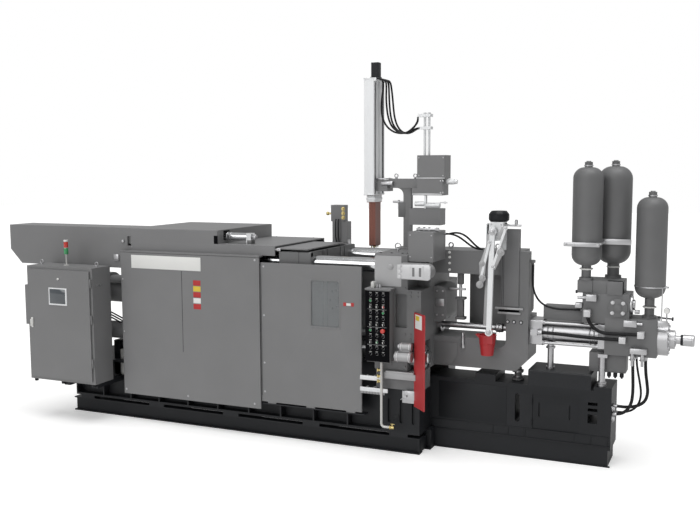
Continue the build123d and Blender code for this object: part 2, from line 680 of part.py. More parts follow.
pipe_x, pipe_y = panel_left + pipe_inset, -platen_half - panel_depth / 2
pipe_top = panel_high - panel_height
with BuildPart() as panel_pipe:
    with BuildLine() as pipe_route:
        FilletPolyline((pipe_x, pipe_y, pipe_top), (pipe_x, pipe_y, pipe_top - pipe_drop),
                       (pipe_x + pipe_run, pipe_y, pipe_top - pipe_drop), radius=pipe_bend)
    with BuildSketch(Plane((pipe_x, pipe_y, pipe_top), z_dir=(0, 0, -1))):
        Circle(pipe_radius)
    sweep(path=pipe_route.line)
save(panel_pipe, "panel_pipe")

# Rounded units on the front of the fixed platen, at the tie bars' level
with BuildPart() as platen_units:
    unit_left = fixed_face + unit_start
    with BuildSketch(Plane.XZ.offset(platen_half)):
        with Locations((unit_left + upper_unit_length / 2, tie_high - upper_unit_drop)):
            SlotOverall(upper_unit_length, 2 * unit_half_height)
    extrude(amount=unit_depth)
    low_right = fixed_face + low_cylinder_end
    for start, rise, radius in low_cylinders:
        rod_x(fixed_face + start, low_right, -platen_half - low_cylinder_out, tie_low + rise, radius)
    block(low_right - unit_depth, low_right - unit_back / 2, -platen_half - low_cylinder_out,
          -platen_half, tie_low + low_cylinder_foot, tie_low + low_cylinder_head)
save(platen_units, "platen_units")

with BuildPart() as platen_box:
    box_bottom = platen_top - box_low
    block(fixed_back, fixed_back + box_length, -box_front, -frame_half - box_step, box_bottom,
          box_bottom + box_height)
    fillet(platen_box.edges().filter_by(Axis.Y).group_by(Axis.Z)[-1], lift_round)
    block(fixed_back, fixed_back + bar_past_nut + 2 * sheet, box_step - box_front,
          -frame_half - box_step, box_bottom, platen_top, Mode.SUBTRACT)
save(platen_box, "platen_box")

# C-shaped injection frame: open towards the platen, with rounded inner corners
with BuildPart() as c_frame:
    with BuildSketch(Plane.XZ.offset(frame_half)):
        with BuildLine():
            Polyline((cheek_back, frame_low), (upright_right - heel, frame_low),
                     (upright_right, frame_low + heel_rise),
                     (upright_right, frame_high + shoulder_rise),
                     (upright_left, frame_high + shoulder_rise), (upright_left, frame_high),
                     (cheek_back, frame_high), close=True)
        make_face()
        with BuildSketch(mode=Mode.PRIVATE) as window:
            with Locations(((cheek_back + upright_left) / 2, (window_floor + window_roof) / 2)):
                Rectangle(window_length, window_roof - window_floor)
            fillet(window.vertices().group_by(Axis.X)[-1].sort_by(Axis.Y)[-1], window_round)
            with Locations((upright_left - pit_length / 2, window_floor - pit_depth / 2)):
                Rectangle(pit_length, pit_depth)
            fillet(window.vertices().group_by(Axis.X)[-1].sort_by(Axis.Y)[0], window_low_round)
        add(window.sketch, mode=Mode.SUBTRACT)
    extrude(amount=-2 * frame_half)
    block(cheek_back + web_start, upright_left, frame_half - web_thickness, frame_half,
          shot_axis, window_roof)
    block(upright_right - cut_back, upright_right, front_plate - frame_half, frame_half,
          shot_axis + cut_low, frame_high + shoulder_rise, mode=Mode.SUBTRACT)
    column_left = upright_left - column_lap
    block(column_left, column_left + column_width, -frame_half - column_proud,
          column_sunk - frame_half, shot_axis + column_low, frame_high + column_rise)
    rod_x(upright_left, upright_right, 0, shot_axis, plunger_radius + 2 * bore_clearance,
          mode=Mode.SUBTRACT)
    foot_x = upright_right - foot_inset
    rod_z(inj_top + foot_plate_height, frame_low, foot_x, 0, foot_radius)
    rod_z(inj_top, inj_top + foot_plate_height, foot_x, 0, foot_plate)
    top_x = cheek_back + cap_inset + cap_gap
    block(top_x, top_x + cap_length, -cap_y, cap_width - cap_y, frame_high, frame_high + cap_height)
    plug_top = frame_high - plug_low
    block(upright_right, upright_right + plug_out, -plug_y - plug_width / 2, plug_width / 2 - plug_y,
          plug_top, plug_top + plug_height)
save(c_frame, "c_frame")

# Curved black cover in the hollow behind the frame's front plate
with BuildPart() as frame_cover:
    rear_cover_root = upright_right - cut_back
    rear_cover_foot = shot_axis + cut_low + rear_cover_gap
    with BuildSketch(Plane.XZ.offset(rear_cover_half)) as rear_cover_side:
        with Locations((rear_cover_root + rear_cover_bulge / 2, rear_cover_foot + rear_cover_rise / 2)):
            Rectangle(rear_cover_bulge, rear_cover_rise)
        fillet(rear_cover_side.vertices().group_by(Axis.X)[-1], rear_cover_round)
    extrude(amount=-2 * rear_cover_half)
save(frame_cover, "frame_cover")

with BuildPart() as shot_sleeve:
    rod_x(fixed_face, cheek_back + sleeve_out, 0, shot_axis, sleeve_radius - running)
    rod_x(fixed_face, cheek_back + sleeve_out, 0, shot_axis, sleeve_bore, mode=Mode.SUBTRACT)
save(shot_sleeve, "shot_sleeve")

# Plunger rod with its tip in the sleeve and its coupling
with BuildPart() as plunger:
    tip_right = cheek_back - plunger_back
    rod_x(tip_right, upright_right + rod_out, 0, shot_axis, plunger_radius)
    rod_x(tip_right - plunger_tip_length, tip_right, 0, shot_axis, plunger_tip)
    coupling_right = upright_left - coupling_gap
    rod_x(coupling_right - coupling_length, coupling_right, 0, shot_axis, coupling_radius)
    chamfer(plunger.edges().filter_by(GeomType.CIRCLE).group_by(SortBy.RADIUS)[-1],
            plunger_tip - plunger_radius)
save(plunger, "plunger")

# Shot cylinder: two heads held on the tube by four tie rods
front_head = upright_right + head_length
tube_right = front_head + tube_length
with BuildPart() as shot_cylinder:
    for x0, x1 in ((upright_right, front_head), (tube_right, tube_right + rear_head_length)):
        with BuildSketch(Plane.YZ.offset(x0)):
            with Locations((0, shot_axis)):
                RectangleRounded(2 * head_half, 2 * head_half, head_chamfer)
        extrude(amount=x1 - x0)
    rod_x(front_head, tube_right, 0, shot_axis, tube_radius)
    for y in (-tie_rod_offset, tie_rod_offset):
        for z in (shot_axis - tie_rod_offset, shot_axis + tie_rod_offset):
            rod_x(front_head, tube_right, y, z, tie_rod_radius)
    rod_x(upright_right, tube_right - bore_end_gap, 0, shot_axis, plunger_radius + 4 * bore_clearance,
          mode=Mode.SUBTRACT)
    block(upright_right + shot_plug_start, upright_right + shot_plug_start + shot_plug_length,
          -head_half - shot_plug_depth, -head_half, shot_axis - shot_plug_low,
          shot_axis - shot_plug_low + shot_plug_height)
save(shot_cylinder, "shot_cylinder")

# Valve blocks stacked at the end of the shot cylinder
mid_left = upright_right + mid_block_start
mid_low = shot_axis + mid_block_rise
mid_high = mid_low + mid_block_height
end_left = upright_right + end_block_start
end_low = shot_axis - end_block_drop
end_right = end_left + end_block_length
low_left = upright_right + low_block_start
with BuildPart() as valve_block:
    block(upright_right + top_block_start, upright_right + top_block_start + top_block_length,
          -valve_half, valve_half, mid_high, mid_high + top_block_height)
    fillet(valve_block.edges().filter_by(Axis.Z), valve_round)
    block(mid_left, mid_left + mid_block_length, -valve_half, valve_half, mid_low, mid_high)
    block(end_left, end_right, -valve_half, valve_half, end_low, end_low + end_block_height)
    block(low_left, low_left + low_block_length, -low_block_half, low_block_half,
          end_low - low_block_height, end_low)
    block(front_head, mid_left, -duct_half, duct_half, mid_low, mid_low + duct_run_height)
    rod_y(-valve_half - face_flange_depth, -valve_half, mid_left + mid_block_length / 2,
          mid_low + mid_block_height / 3, face_flange_radius)
    for x, z in (first_plug, second_plug, third_plug):
        block(x - hose_block / 2, x + hose_block / 2, -valve_half - hose_block_depth, -valve_half,
              z, z + hose_block)
save(valve_block, "valve_block")

with BuildPart() as end_cap:
    x = end_right
    for length, radius in ((cap_flange_length, cap_flange), (cap_step_length, cap_step),
                           (cap_neck_length, cap_neck), (cap_stub_length, cap_stub)):
        rod_x(x, x + length, 0, shot_axis, radius)
        x += length
    chamfer(end_cap.edges().filter_by(GeomType.CIRCLE).sort_by(Axis.X)[-1], cap_chamfer)
save(end_cap, "end_cap")

# Jacks that carry the shot cylinder on the injection base
jack_foot = (inj_top + cover_height, inj_top + end_post_rise)
jack_head = (shot_axis - tube_radius - saddle_height, end_low - jack_plate_height)
with BuildPart() as cylinder_supports:
    for reach, line, radius, foot, head in zip(support_places, jack_lines, support_radii, jack_foot,
                                               jack_head):
        rod_z(foot, head, upright_right + reach, line, radius)
        rod_z(foot, foot + saddle_height, upright_right + reach, line, radius + saddle_extra)
    tube_under = shot_axis - tube_radius
    saddle_x = upright_right + support_places[0]
    saddle_y = jack_lines[0]
    block(saddle_x - saddle_half, saddle_x + saddle_half, saddle_y - saddle_half, saddle_y + saddle_half,
          jack_head[0], tube_under)
    plate_at = upright_right + support_places[1]
    block(plate_at - jack_plate_left, plate_at + jack_plate_right, -valve_half, -low_block_half,
          jack_head[1], end_low)
save(cylinder_supports, "cylinder_supports")


def bottle(x, y, foot, height, radius, neck, neck_height):
    """A bladder bottle: domed at both ends, with a ring on its neck and a small crown."""
    shoulder = foot + neck_height
    top = foot + height - crown_height
    dome = radius - crown_radius
    with BuildSketch(Plane.XZ.offset(-y)) as profile:
        with BuildLine():
            Polyline((x, foot), (x + neck + ring_extra, foot), (x + neck + ring_extra, foot + ring_height),
                     (x + neck, foot + ring_height), (x + neck, shoulder))
            TangentArc((x + radius, shoulder + dome), (x + neck, shoulder), tangent=(0, -1))
            Line((x + radius, shoulder + dome), (x + radius, top - dome))
            TangentArc((x + radius, top - dome), (x + crown_radius, top), tangent=(0, 1))
            Polyline((x + crown_radius, top), (x + crown_radius, foot + height), (x, foot + height),
                     (x, foot))
        make_face()
    revolve(profile.sketch, axis=Axis((x, y, 0), (0, 0, 1)))


with BuildPart() as accumulators:
    for (reach, *sizes), foot in ((front_bottle, mid_high + top_block_height),
                                                   (back_bottle, mid_high + top_block_height),
                                                   (end_bottle, end_low + end_block_height)):
        bottle(upright_right + reach, sizes[0], foot, *sizes[1:])
save(accumulators, "accumulators")

# Spray unit on top of the fixed platen
mast_right = fixed_face - mast_reach
mast_left = mast_right - mast_depth
mast_low = platen_top + mast_rise
mast_top = mast_low + mast_height
arm_low = platen_top + arm_rise
arm_high = arm_low + arm_depth
post_right = fixed_face + post_start + post_width
with BuildPart() as spray_column:
    block(fixed_face + post_half, post_right + 2 * post_half, -platform_half, platform_half,
          platen_top, platen_top + base_height)
    block(post_right - post_width, post_right, -post_half, post_half, platen_top + base_height, arm_low)
    block(fixed_face - arm_left, fixed_face + arm_right, -arm_half, arm_half, arm_low, arm_high)
    post_left = post_right - post_width
    with BuildSketch(Plane.XZ.offset(post_half)):
        with BuildLine():
            Polyline((post_left, arm_low - gusset), (post_left, arm_low), (post_left - gusset, arm_low))
            TangentArc((post_left, arm_low - gusset), (post_left - gusset, arm_low), tangent=(0, 1))
        make_face()
    extrude(amount=-2 * post_half)
    block(mast_right + running, fixed_face - arm_left, -bracket_half, bracket_half,
          arm_low - guide_drop, arm_high - bar_thickness / 2)
save(spray_column, "spray_column")

with BuildPart() as spray_boxes:
    right = fixed_face + arm_right
    block(right, right + box_long, -boxes_half, boxes_half, arm_high, arm_high + upper_box_height)
    block(right, right + box_short, -boxes_half, boxes_half, arm_low, arm_high)
    block(post_right + post_half, right + box_short, -boxes_half, boxes_half, arm_low - strip_height,
          arm_low)
    fillet(spray_boxes.edges().filter_by(Axis.Z).group_by(Axis.X)[-1], panel_round)
    block(post_right, post_right + lower_box_length, -bracket_half, bracket_half,
          arm_low - lower_box_drop, arm_low - lower_box_drop + lower_box_height)
save(spray_boxes, "spray_boxes")

# Two tubes that hold the spray hoses up
post_foot = arm_high + upper_box_height
with BuildPart() as hose_post:
    for x in tube_places:
        rod_z(post_foot, post_foot + post_height, fixed_face + arm_right + x, 0, post_radius)
    left = fixed_face + arm_right
    block(left - high_bar_lap, left + bar_reach, -high_bar_half, bar_half, post_foot + high_bar,
          post_foot + high_bar + bar_thickness)
    block(left + low_bar_start, left + bar_reach, -bar_half, bar_half, post_foot + low_bar,
          post_foot + low_bar + bar_thickness)
save(hose_post, "hose_post")

# Spray mast: a slotted profile that slides up and down, with the hoses' plugs at its top
with BuildPart() as spray_mast:
    with BuildSketch(Plane.XY.offset(mast_low)):
        with Locations(((mast_left + mast_right) / 2, 0)):
            RectangleRounded(mast_depth, 2 * mast_half, mast_groove / 4)
        with Locations((mast_right - mast_groove / 2, 0)):
            with GridLocations(1, 2 * mast_half / mast_groove_count, 1, mast_groove_count):
                Rectangle(mast_groove, mast_rib, mode=Mode.SUBTRACT)
    extrude(amount=mast_height)
    block(mast_right, mast_right + plug_bar_out, -mast_half, mast_half, mast_top - plug_bar_height,
          mast_top)
save(spray_mast, "spray_mast")

with BuildPart() as spray_motor:
    motor_x = (mast_left + mast_right) / 2 + motor_shift
    block(motor_x - motor_half - motor_lip, motor_x + motor_half + motor_lip, -motor_half - motor_lip,
          motor_half + motor_lip, mast_top, mast_top + motor_flange)
    block(motor_x - motor_half, motor_x + motor_half, -motor_half, motor_half, mast_top + motor_flange,
          mast_top + motor_height)
    fillet(spray_motor.edges().filter_by(Axis.Z), motor_lip)
save(spray_motor, "spray_motor")

with BuildPart() as spray_manifold:
    block(mast_left + flange_edge, mast_right - motor_lip, -flange_half, flange_half,
          mast_low - flange_height, mast_low)
    block(mast_left + manifold_edge, mast_right - flange_edge, -manifold_half, manifold_half,
          mast_low - flange_height - manifold_height, mast_low - flange_height)
    chamfer(spray_manifold.edges().filter_by(Axis.X).group_by(Axis.Z)[0], flange_edge)
save(spray_manifold, "spray_manifold")

# Valve box that stands on the moving platen
with BuildPart() as valve_post:
    left = moving_left + valve_left
    block(left, left + valve_width, valve_y, valve_y + valve_depth, moving_top, moving_top + valve_height)
    left -= valve_top_shift
    block(left, left + valve_top_width, valve_y, valve_y + valve_depth, moving_top + valve_height,
          moving_top + valve_height + valve_top_height)
save(valve_post, "valve_post")

# Red plate beside the platen, folded at its outer edge
with BuildPart() as red_guard:
    plate_x = cheek_back - guard_plate_back
    low = bed_top - guard_plate_low
    with BuildSketch(Plane.XY.offset(low)):
        with BuildLine():
            Polyline((plate_x, -platen_half - guard_plate_thick),
                     (plate_x + guard_plate_run, -platen_half - guard_plate_thick - guard_plate_run),
                     (plate_x + guard_plate_run + guard_plate_thick, -platen_half - guard_plate_run),
                     (plate_x + guard_plate_thick, -platen_half), close=True)
        make_face()
    extrude(amount=guard_plate_height)
    block(plate_x, plate_x + guard_tab_length, -platen_half - guard_plate_thick, -platen_half,
          low + guard_plate_height - guard_tab_height, low + guard_plate_height)
save(red_guard, "red_guard")

# Auto ladle on the front of the injection frame
ladle_x, ladle_z = upright_left - ladle_inset, frame_high + ladle_rise
cup_x, cup_z = ladle_x - arm_lean, ladle_z - arm_reach
mount_back = frame_half + column_proud
with BuildPart() as ladle_bracket:
    mount_x = upright_left + mount_start
    gear_x = ladle_x - gear_left
    gear_z = ladle_z - gear_drop
    block(mount_x, mount_x + mount_length, -mount_back - mount_low, -mount_back,
          frame_high + mount_low, frame_high + mount_low + mount_height)
    block(gear_x, gear_x + gear_width, -mount_back - mount_low - gear_depth, -mount_back - mount_low,
          gear_z, gear_z + gear_height)
    fillet(ladle_bracket.edges().filter_by(Axis.Y).group_by(Axis.X)[0], mount_low)
    rod_y(-ladle_y - arm_thickness - slide_clearance, -mount_back - mount_low - gear_depth, ladle_x,
          ladle_z, pivot_radius)
save(ladle_bracket, "ladle_bracket")

with BuildPart() as ladle_motor:
    with BuildSketch(Plane.XY.offset(gear_z + gear_height)):
        with Locations((gear_x + gear_width / 2, -mount_back - mount_low - gear_depth / 2)):
            RegularPolygon(motor_radius, 8)
    extrude(amount=motor_length)
    chamfer(ladle_motor.edges().group_by(Axis.Z)[-1], mount_low / 2)
save(ladle_motor, "ladle_motor")

# Ladle arm with its two side links
with BuildPart() as ladle_arm:
    with BuildSketch(Plane.XZ.offset(ladle_y)):
        with BuildLine():
            Polyline((ladle_x - arm_half_width, ladle_z + 2 * arm_half_width),
                     (ladle_x + arm_half_width, ladle_z + 2 * arm_half_width),
                     (cup_x + arm_half_width, cup_z), (cup_x - arm_half_width, cup_z), close=True)
        make_face()
        with Locations((cup_x, cup_z), (ladle_x, ladle_z)):
            Circle(arm_boss)
        with Locations((ladle_x, ladle_z)):
            Circle(pivot_radius + running, mode=Mode.SUBTRACT)
    extrude(amount=arm_thickness)
    front = -ladle_y - arm_thickness
    for top, foot in (left_link, right_link):
        turn = degrees(atan2(top[1] - foot[1], top[0] - foot[0]))
        span = hypot(top[0] - foot[0], top[1] - foot[1])
        middle = ((top[0] + foot[0]) / 2 + ladle_x, (top[1] + foot[1]) / 2 + ladle_z)
        with BuildSketch(Plane.XZ.offset(-front)):
            with Locations(Location((*middle, 0), (0, 0, turn))):
                SlotCenterToCenter(span, 2 * link_half)
            for x, z in (top, foot):
                with Locations((ladle_x + x, ladle_z + z)):
                    Circle(link_boss)
        extrude(amount=link_thickness)
    rod_y(-ladle_y, cup_pin_out - ladle_y, cup_x, cup_z, cup_pin_radius)
save(ladle_arm, "ladle_arm")

# Ladle cup: a tapered pot with a pouring lip, hung on the arm's pin
pot_x, pot_y = cup_x - cup_shift, -cup_y
rim = cup_z - cup_drop
with BuildPart() as ladle_cup:
    for shrink, floor, mode in ((0, 0, Mode.ADD), (cup_wall, cup_floor, Mode.SUBTRACT)):
        with BuildSketch(Plane.XY.offset(rim - cup_depth + floor)):
            with Locations((pot_x, pot_y)):
                Circle(cup_low_radius - shrink)
        with BuildSketch(Plane.XY.offset(rim)):
            with Locations((pot_x, pot_y)):
                Circle(cup_radius - shrink)
        loft(mode=mode)
        with BuildSketch(Plane.XY.offset(rim - cup_depth / 3)):
            with Locations((pot_x - cup_radius / 2, pot_y)):
                Rectangle(cup_wall * 2, spout_half)
        with BuildSketch(Plane.XY.offset(rim)):
            with Locations((pot_x - (cup_radius + spout_reach) / 2 + shrink / 2, pot_y)):
                Rectangle(cup_radius + spout_reach - shrink, 2 * (spout_half - shrink))
        loft(mode=mode)
    hanger_y = -ladle_y + cup_pin_out - hanger_thick / 2
    block(cup_x - hanger_half, cup_x + hanger_half, hanger_y - hanger_thick / 2,
          hanger_y + hanger_thick / 2, rim - cup_depth / 3, cup_z + hanger_half)
    block(cup_x - hanger_half, cup_x + hanger_half, hanger_y, pot_y - cup_radius + cup_wall * 2,
          rim - cup_depth / 3, rim - cup_depth / 3 + 2 * cup_wall)
    rod_y(hanger_y - hanger_thick, hanger_y + hanger_thick, cup_x, cup_z, cup_pin_radius + running,
          mode=Mode.SUBTRACT)
save(ladle_cup, "ladle_cup")


def hose(points, diameter):
    """One hose: straight runs with tangent arcs between them."""
    ends = [Vector(*p) for p in points]
    runs = [b - a for a, b in zip(ends, ends[1:])]
    radii = []
    for before, after in zip(runs, runs[1:]):
        half_turn = radians(before.get_angle(after)) / 2
        radii.append(0.45 * min(before.length, after.length) / tan(half_turn))
    with BuildLine() as route:
        FilletPolyline(*points, radius=radii)
    with BuildSketch(Plane(points[0], z_dir=runs[0])) as section:
        Circle(diameter / 2)
    tube = sweep(section.sketch, path=route.line)
    length = route.wire().length
    swept = length * pi * diameter ** 2 / 4
    print(f"length {length:.0f} tightest bend {min(radii):.0f}",
          f"volume share {tube.volume / swept:.3f}")


# Hoses from the mast's top to the tubes
spray_routes = (
    ((-495, -143, 4615), (-450, -143, 4615), (-412, -142, 4583), (-406, -141, 4500),
     (-428, -139, 4385), (-440, -136, 4262), (-430, -132, 4140), (-385, -124, 4030),
     (-300, -112, 3953), (-205, -97, 3926), (-115, -80, 3935), (-50, -63, 3985), (5, -50, 4045),
     (20, -48, 4086), (20, -48, 4130)),
    ((-495, -40, 4615), (-450, -40, 4615), (-412, -40, 4583), (-408, -39, 4500),
     (-412, -38, 4385), (-405, -37, 4262), (-388, -35, 4140), (-350, -33, 4036),
     (-288, -31, 3970), (-205, -28, 3934), (-120, -25, 3930), (-55, -23, 3962),
     (-5, -21, 3992), (40, -21, 3992)),
    ((-495, 41, 4615), (-450, 41, 4615), (-412, 41, 4583), (-404, 40, 4500),
     (-400, 38, 4385), (-392, 35, 4262), (-376, 32, 4140), (-338, 28, 4030),
     (-262, 23, 3953), (-165, 17, 3930), (-82, 12, 3968), (-32, 7, 4032), (0, 4, 4086),
     (0, 4, 4130)),
    ((-495, 119, 4615), (-450, 119, 4615), (-412, 118, 4583), (-396, 114, 4500),
     (-380, 108, 4385), (-366, 100, 4262), (-348, 92, 4140), (-310, 82, 4036),
     (-252, 72, 3962), (-172, 60, 3928), (-98, 46, 3942), (-50, 34, 3968),
     (-5, 27, 3992), (40, 27, 3992)),
)
with BuildPart() as spray_hoses:
    for points in spray_routes:
        hose(points, thin_hose)
save(spray_hoses, "spray_hoses")

# Hose down the back of the injection frame to the valve block
with BuildPart() as frame_hose:
    hose(((1515, -150, 2365), (1515, -150, 2300), (1511, -150, 2195), (1518, -150, 2085),
          (1545, -150, 1985), (1605, -150, 1895), (1700, -150, 1842), (1825, -150, 1824),
          (1950, -150, 1827), (2050, -150, 1830), (2110, -150, 1830)), thin_hose)
save(frame_hose, "frame_hose")

# Two hoses along the shot cylinder
with BuildPart() as shot_hoses:
    hose(((2177, -250, 1850), (2177, -250, 1770), (2211, -250, 1689), (2273, -250, 1627),
          (2354, -250, 1593), (2450, -250, 1589), (2560, -250, 1592), (2665, -250, 1596),
          (2743, -250, 1596)), thick_hose)
    hose(((1600, -215, 1540), (1720, -215, 1540), (1880, -221, 1536), (2060, -237, 1529),
          (2240, -249, 1525), (2400, -250, 1524), (2543, -250, 1524)), thick_hose)
save(shot_hoses, "shot_hoses")

# Three hoses that hang from the end block to the injection base
with BuildPart() as hanging_hoses:
    hose(((2690, -160, 1330), (2690, -160, 1230), (2697, -161, 1080), (2702, -162, 930),
          (2694, -163, 800), (2662, -164, 712), (2604, -165, 652), (2536, -165, 628),
          (2476, -165, 628)), hanging_hose)
    hose(((2825, -100, 1330), (2825, -100, 1240), (2832, -100, 1120), (2850, -102, 1005),
          (2862, -105, 900), (2838, -108, 805), (2775, -111, 748), (2695, -114, 720),
          (2610, -116, 710), (2540, -116, 712), (2476, -116, 712)), hanging_hose)
    hose(((2720, -50, 1330), (2720, -50, 1250), (2738, -50, 1130), (2765, -52, 1000),
          (2785, -54, 870), (2765, -56, 755), (2705, -58, 675), (2620, -60, 636),
          (2540, -60, 628), (2476, -60, 628)), thin_hanging_hose)
save(hanging_hoses, "hanging_hoses")

# Two hoses from the box on the platen to the frame's top
with BuildPart() as ladle_hoses:
    hose(((455, -300, 2692), (510, -300, 2692), (585, -297, 2712), (665, -288, 2704),
          (738, -272, 2660), (795, -255, 2598), (845, -235, 2545), (900, -220, 2508),
          (950, -220, 2508)), thin_hose)
    hose(((455, -262, 2692), (510, -262, 2692), (575, -256, 2680), (645, -246, 2645),
          (710, -232, 2595), (770, -216, 2546), (835, -196, 2514), (900, -185, 2508),
          (950, -185, 2508)), thin_hose)
save(ladle_hoses, "ladle_hoses")
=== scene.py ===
"""Looks of the cold chamber die casting machine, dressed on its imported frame.

Metres, +X along the machine to the injection end, +Y away from the operator, +Z up.
"""
import json
from itertools import product
from math import cos, pi, radians, sin

import bmesh
import bpy
from mathutils import Matrix, Vector


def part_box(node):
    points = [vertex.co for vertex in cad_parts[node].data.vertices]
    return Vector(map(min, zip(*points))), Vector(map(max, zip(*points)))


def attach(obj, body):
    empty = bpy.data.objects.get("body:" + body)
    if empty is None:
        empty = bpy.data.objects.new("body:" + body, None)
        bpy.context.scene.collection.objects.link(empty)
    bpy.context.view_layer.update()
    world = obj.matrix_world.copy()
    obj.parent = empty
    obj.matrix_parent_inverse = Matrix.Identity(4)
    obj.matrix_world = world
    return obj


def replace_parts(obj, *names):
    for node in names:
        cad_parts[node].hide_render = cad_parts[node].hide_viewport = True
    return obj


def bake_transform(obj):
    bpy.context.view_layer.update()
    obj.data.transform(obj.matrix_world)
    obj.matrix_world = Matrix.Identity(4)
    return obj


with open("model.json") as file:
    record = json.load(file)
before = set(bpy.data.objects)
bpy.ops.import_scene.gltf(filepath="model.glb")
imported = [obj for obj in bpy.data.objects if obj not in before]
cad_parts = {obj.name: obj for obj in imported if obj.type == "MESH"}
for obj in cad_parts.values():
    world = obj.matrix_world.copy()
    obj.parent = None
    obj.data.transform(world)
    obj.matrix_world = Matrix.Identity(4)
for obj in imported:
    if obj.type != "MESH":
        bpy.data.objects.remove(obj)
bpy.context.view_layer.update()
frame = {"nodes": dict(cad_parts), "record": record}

# Camera, solved from the photograph's straight edges
camera_data = bpy.data.cameras.new("view")
camera_data.sensor_width = 36
camera_data.lens = 45.96
camera = bpy.data.objects.new("view", camera_data)
camera.location = (3.784, -10.740, 3.500)
camera.rotation_euler = (radians(90 - 6.05), radians(0.21), radians(23.71))
bpy.context.collection.objects.link(camera)
scene = bpy.context.scene
scene.camera = camera
scene.view_settings.view_transform = "Standard"


# Materials

materials = {}


def new_material(name):
    """A node material, filed by its name, with its node tree and its principled shader."""
    material = materials[name] = bpy.data.materials.new(name)
    material.use_nodes = True
    return material, material.node_tree, material.node_tree.nodes["Principled BSDF"]


def new_node(tree, kind, values=None, operation=None):
    """A shader node with some of its inputs set."""
    node = tree.nodes.new(kind)
    if operation:
        node.operation = operation
    for key, value in (values or {}).items():
        node.inputs[key].default_value = value
    return node


def two_tones(tree, noise, color, dark, light):
    """A ramp from a darker to a lighter tone of one colour, driven by a noise."""
    ramp = new_node(tree, "ShaderNodeValToRGB")
    ramp.color_ramp.elements[0].color = (*[c * dark for c in color], 1)
    ramp.color_ramp.elements[1].color = (*[min(1, c * light) for c in color], 1)
    tree.links.new(noise.outputs["Fac"], ramp.inputs["Fac"])
    return ramp


def uneven_gloss(tree, noise, shader, low, high):
    """Roughness that wanders between two values with a noise."""
    gloss = new_node(tree, "ShaderNodeMapRange", {"To Min": low, "To Max": high})
    tree.links.new(noise.outputs["Fac"], gloss.inputs["Value"])
    tree.links.new(gloss.outputs["Result"], shader.inputs["Roughness"])


def finish_material(name, color, roughness, metallic=0.0, mottle=0.06, grain=90.0, bump=0.05,
                    edge_wear_and_highlight=0.0, edge_wear_and_highlight_color=(0.45, 0.45, 0.46), coat=0.0, specular=0.5):
    """Paint or metal: mottled colour, uneven gloss, fine bump, and convex edges lightened both as wear and
    as painted highlight.
    """
    material, tree, shader = new_material(name)
    link = tree.links.new
    place = new_node(tree, "ShaderNodeNewGeometry")
    cloud = new_node(tree, "ShaderNodeTexNoise", {"Scale": 2.3, "Detail": 6})
    fine = new_node(tree, "ShaderNodeTexNoise", {"Scale": grain, "Detail": 3})
    for noise in (cloud, fine):
        link(place.outputs["Position"], noise.inputs["Vector"])
    ramp = two_tones(tree, cloud, color, 1 - mottle, 1 + mottle)
    ramp.color_ramp.elements[0].position = 0.3
    ramp.color_ramp.elements[1].position = 0.7
    tint = ramp.outputs["Color"]
    # Convex edges, found by pointiness, take a lighter tone: partly wear, partly painted highlight where
    # edges catch the light.
    if edge_wear_and_highlight:
        edge = new_node(tree, "ShaderNodeMath", {1: 9, 2: -4.9}, "MULTIPLY_ADD")
        link(place.outputs["Pointiness"], edge.inputs[0])
        wear_and_highlight_mask = new_node(tree, "ShaderNodeMath", operation="MULTIPLY")
        link(edge.outputs[0], wear_and_highlight_mask.inputs[0])
        link(fine.outputs["Fac"], wear_and_highlight_mask.inputs[1])
        share = new_node(tree, "ShaderNodeMath", {1: edge_wear_and_highlight}, "MULTIPLY")
        link(wear_and_highlight_mask.outputs[0], share.inputs[0])
        wear_and_highlight_mask.use_clamp = share.use_clamp = True
        mix = new_node(tree, "ShaderNodeMix")
        mix.data_type = "RGBA"
        link(share.outputs[0], mix.inputs["Factor"])
        link(tint, mix.inputs["A"])
        mix.inputs["B"].default_value = (*edge_wear_and_highlight_color, 1)
        tint = mix.outputs["Result"]
    link(tint, shader.inputs["Base Color"])
    uneven_gloss(tree, cloud, shader, max(0.02, roughness - 0.07), roughness + 0.07)
    shader.inputs["Metallic"].default_value = metallic
    shader.inputs["Coat Weight"].default_value = coat
    shader.inputs["Specular IOR Level"].default_value = specular
    bumps = new_node(tree, "ShaderNodeBump", {"Strength": bump, "Distance": 0.002})
    link(fine.outputs["Fac"], bumps.inputs["Height"])
    link(bumps.outputs["Normal"], shader.inputs["Normal"])
    return material


def brushed_material(name, color, roughness, stretch, scale=60.0, metallic=1.0):
    """Metal with fine lines along one axis."""
    material, tree, shader = new_material(name)
    place = new_node(tree, "ShaderNodeNewGeometry")
    squeeze = new_node(tree, "ShaderNodeMapping", {"Scale": stretch})
    lines = new_node(tree, "ShaderNodeTexNoise", {"Scale": scale, "Detail": 4})
    tree.links.new(place.outputs["Position"], squeeze.inputs["Vector"])
    tree.links.new(squeeze.outputs["Vector"], lines.inputs["Vector"])
    ramp = two_tones(tree, lines, color, 0.86, 1.1)
    tree.links.new(ramp.outputs["Color"], shader.inputs["Base Color"])
    uneven_gloss(tree, lines, shader, roughness, roughness + 0.15)
    shader.inputs["Metallic"].default_value = metallic
    return material


def glass_material(name, color):
    """Clear sheet with a faint tint."""
    material, tree, shader = new_material(name)
    haze = new_node(tree, "ShaderNodeTexNoise", {"Scale": 6})
    uneven_gloss(tree, haze, shader, 0.04, 0.12)
    shader.inputs["Base Color"].default_value = (*color, 1)
    shader.inputs["Alpha"].default_value = 0.28
    return material
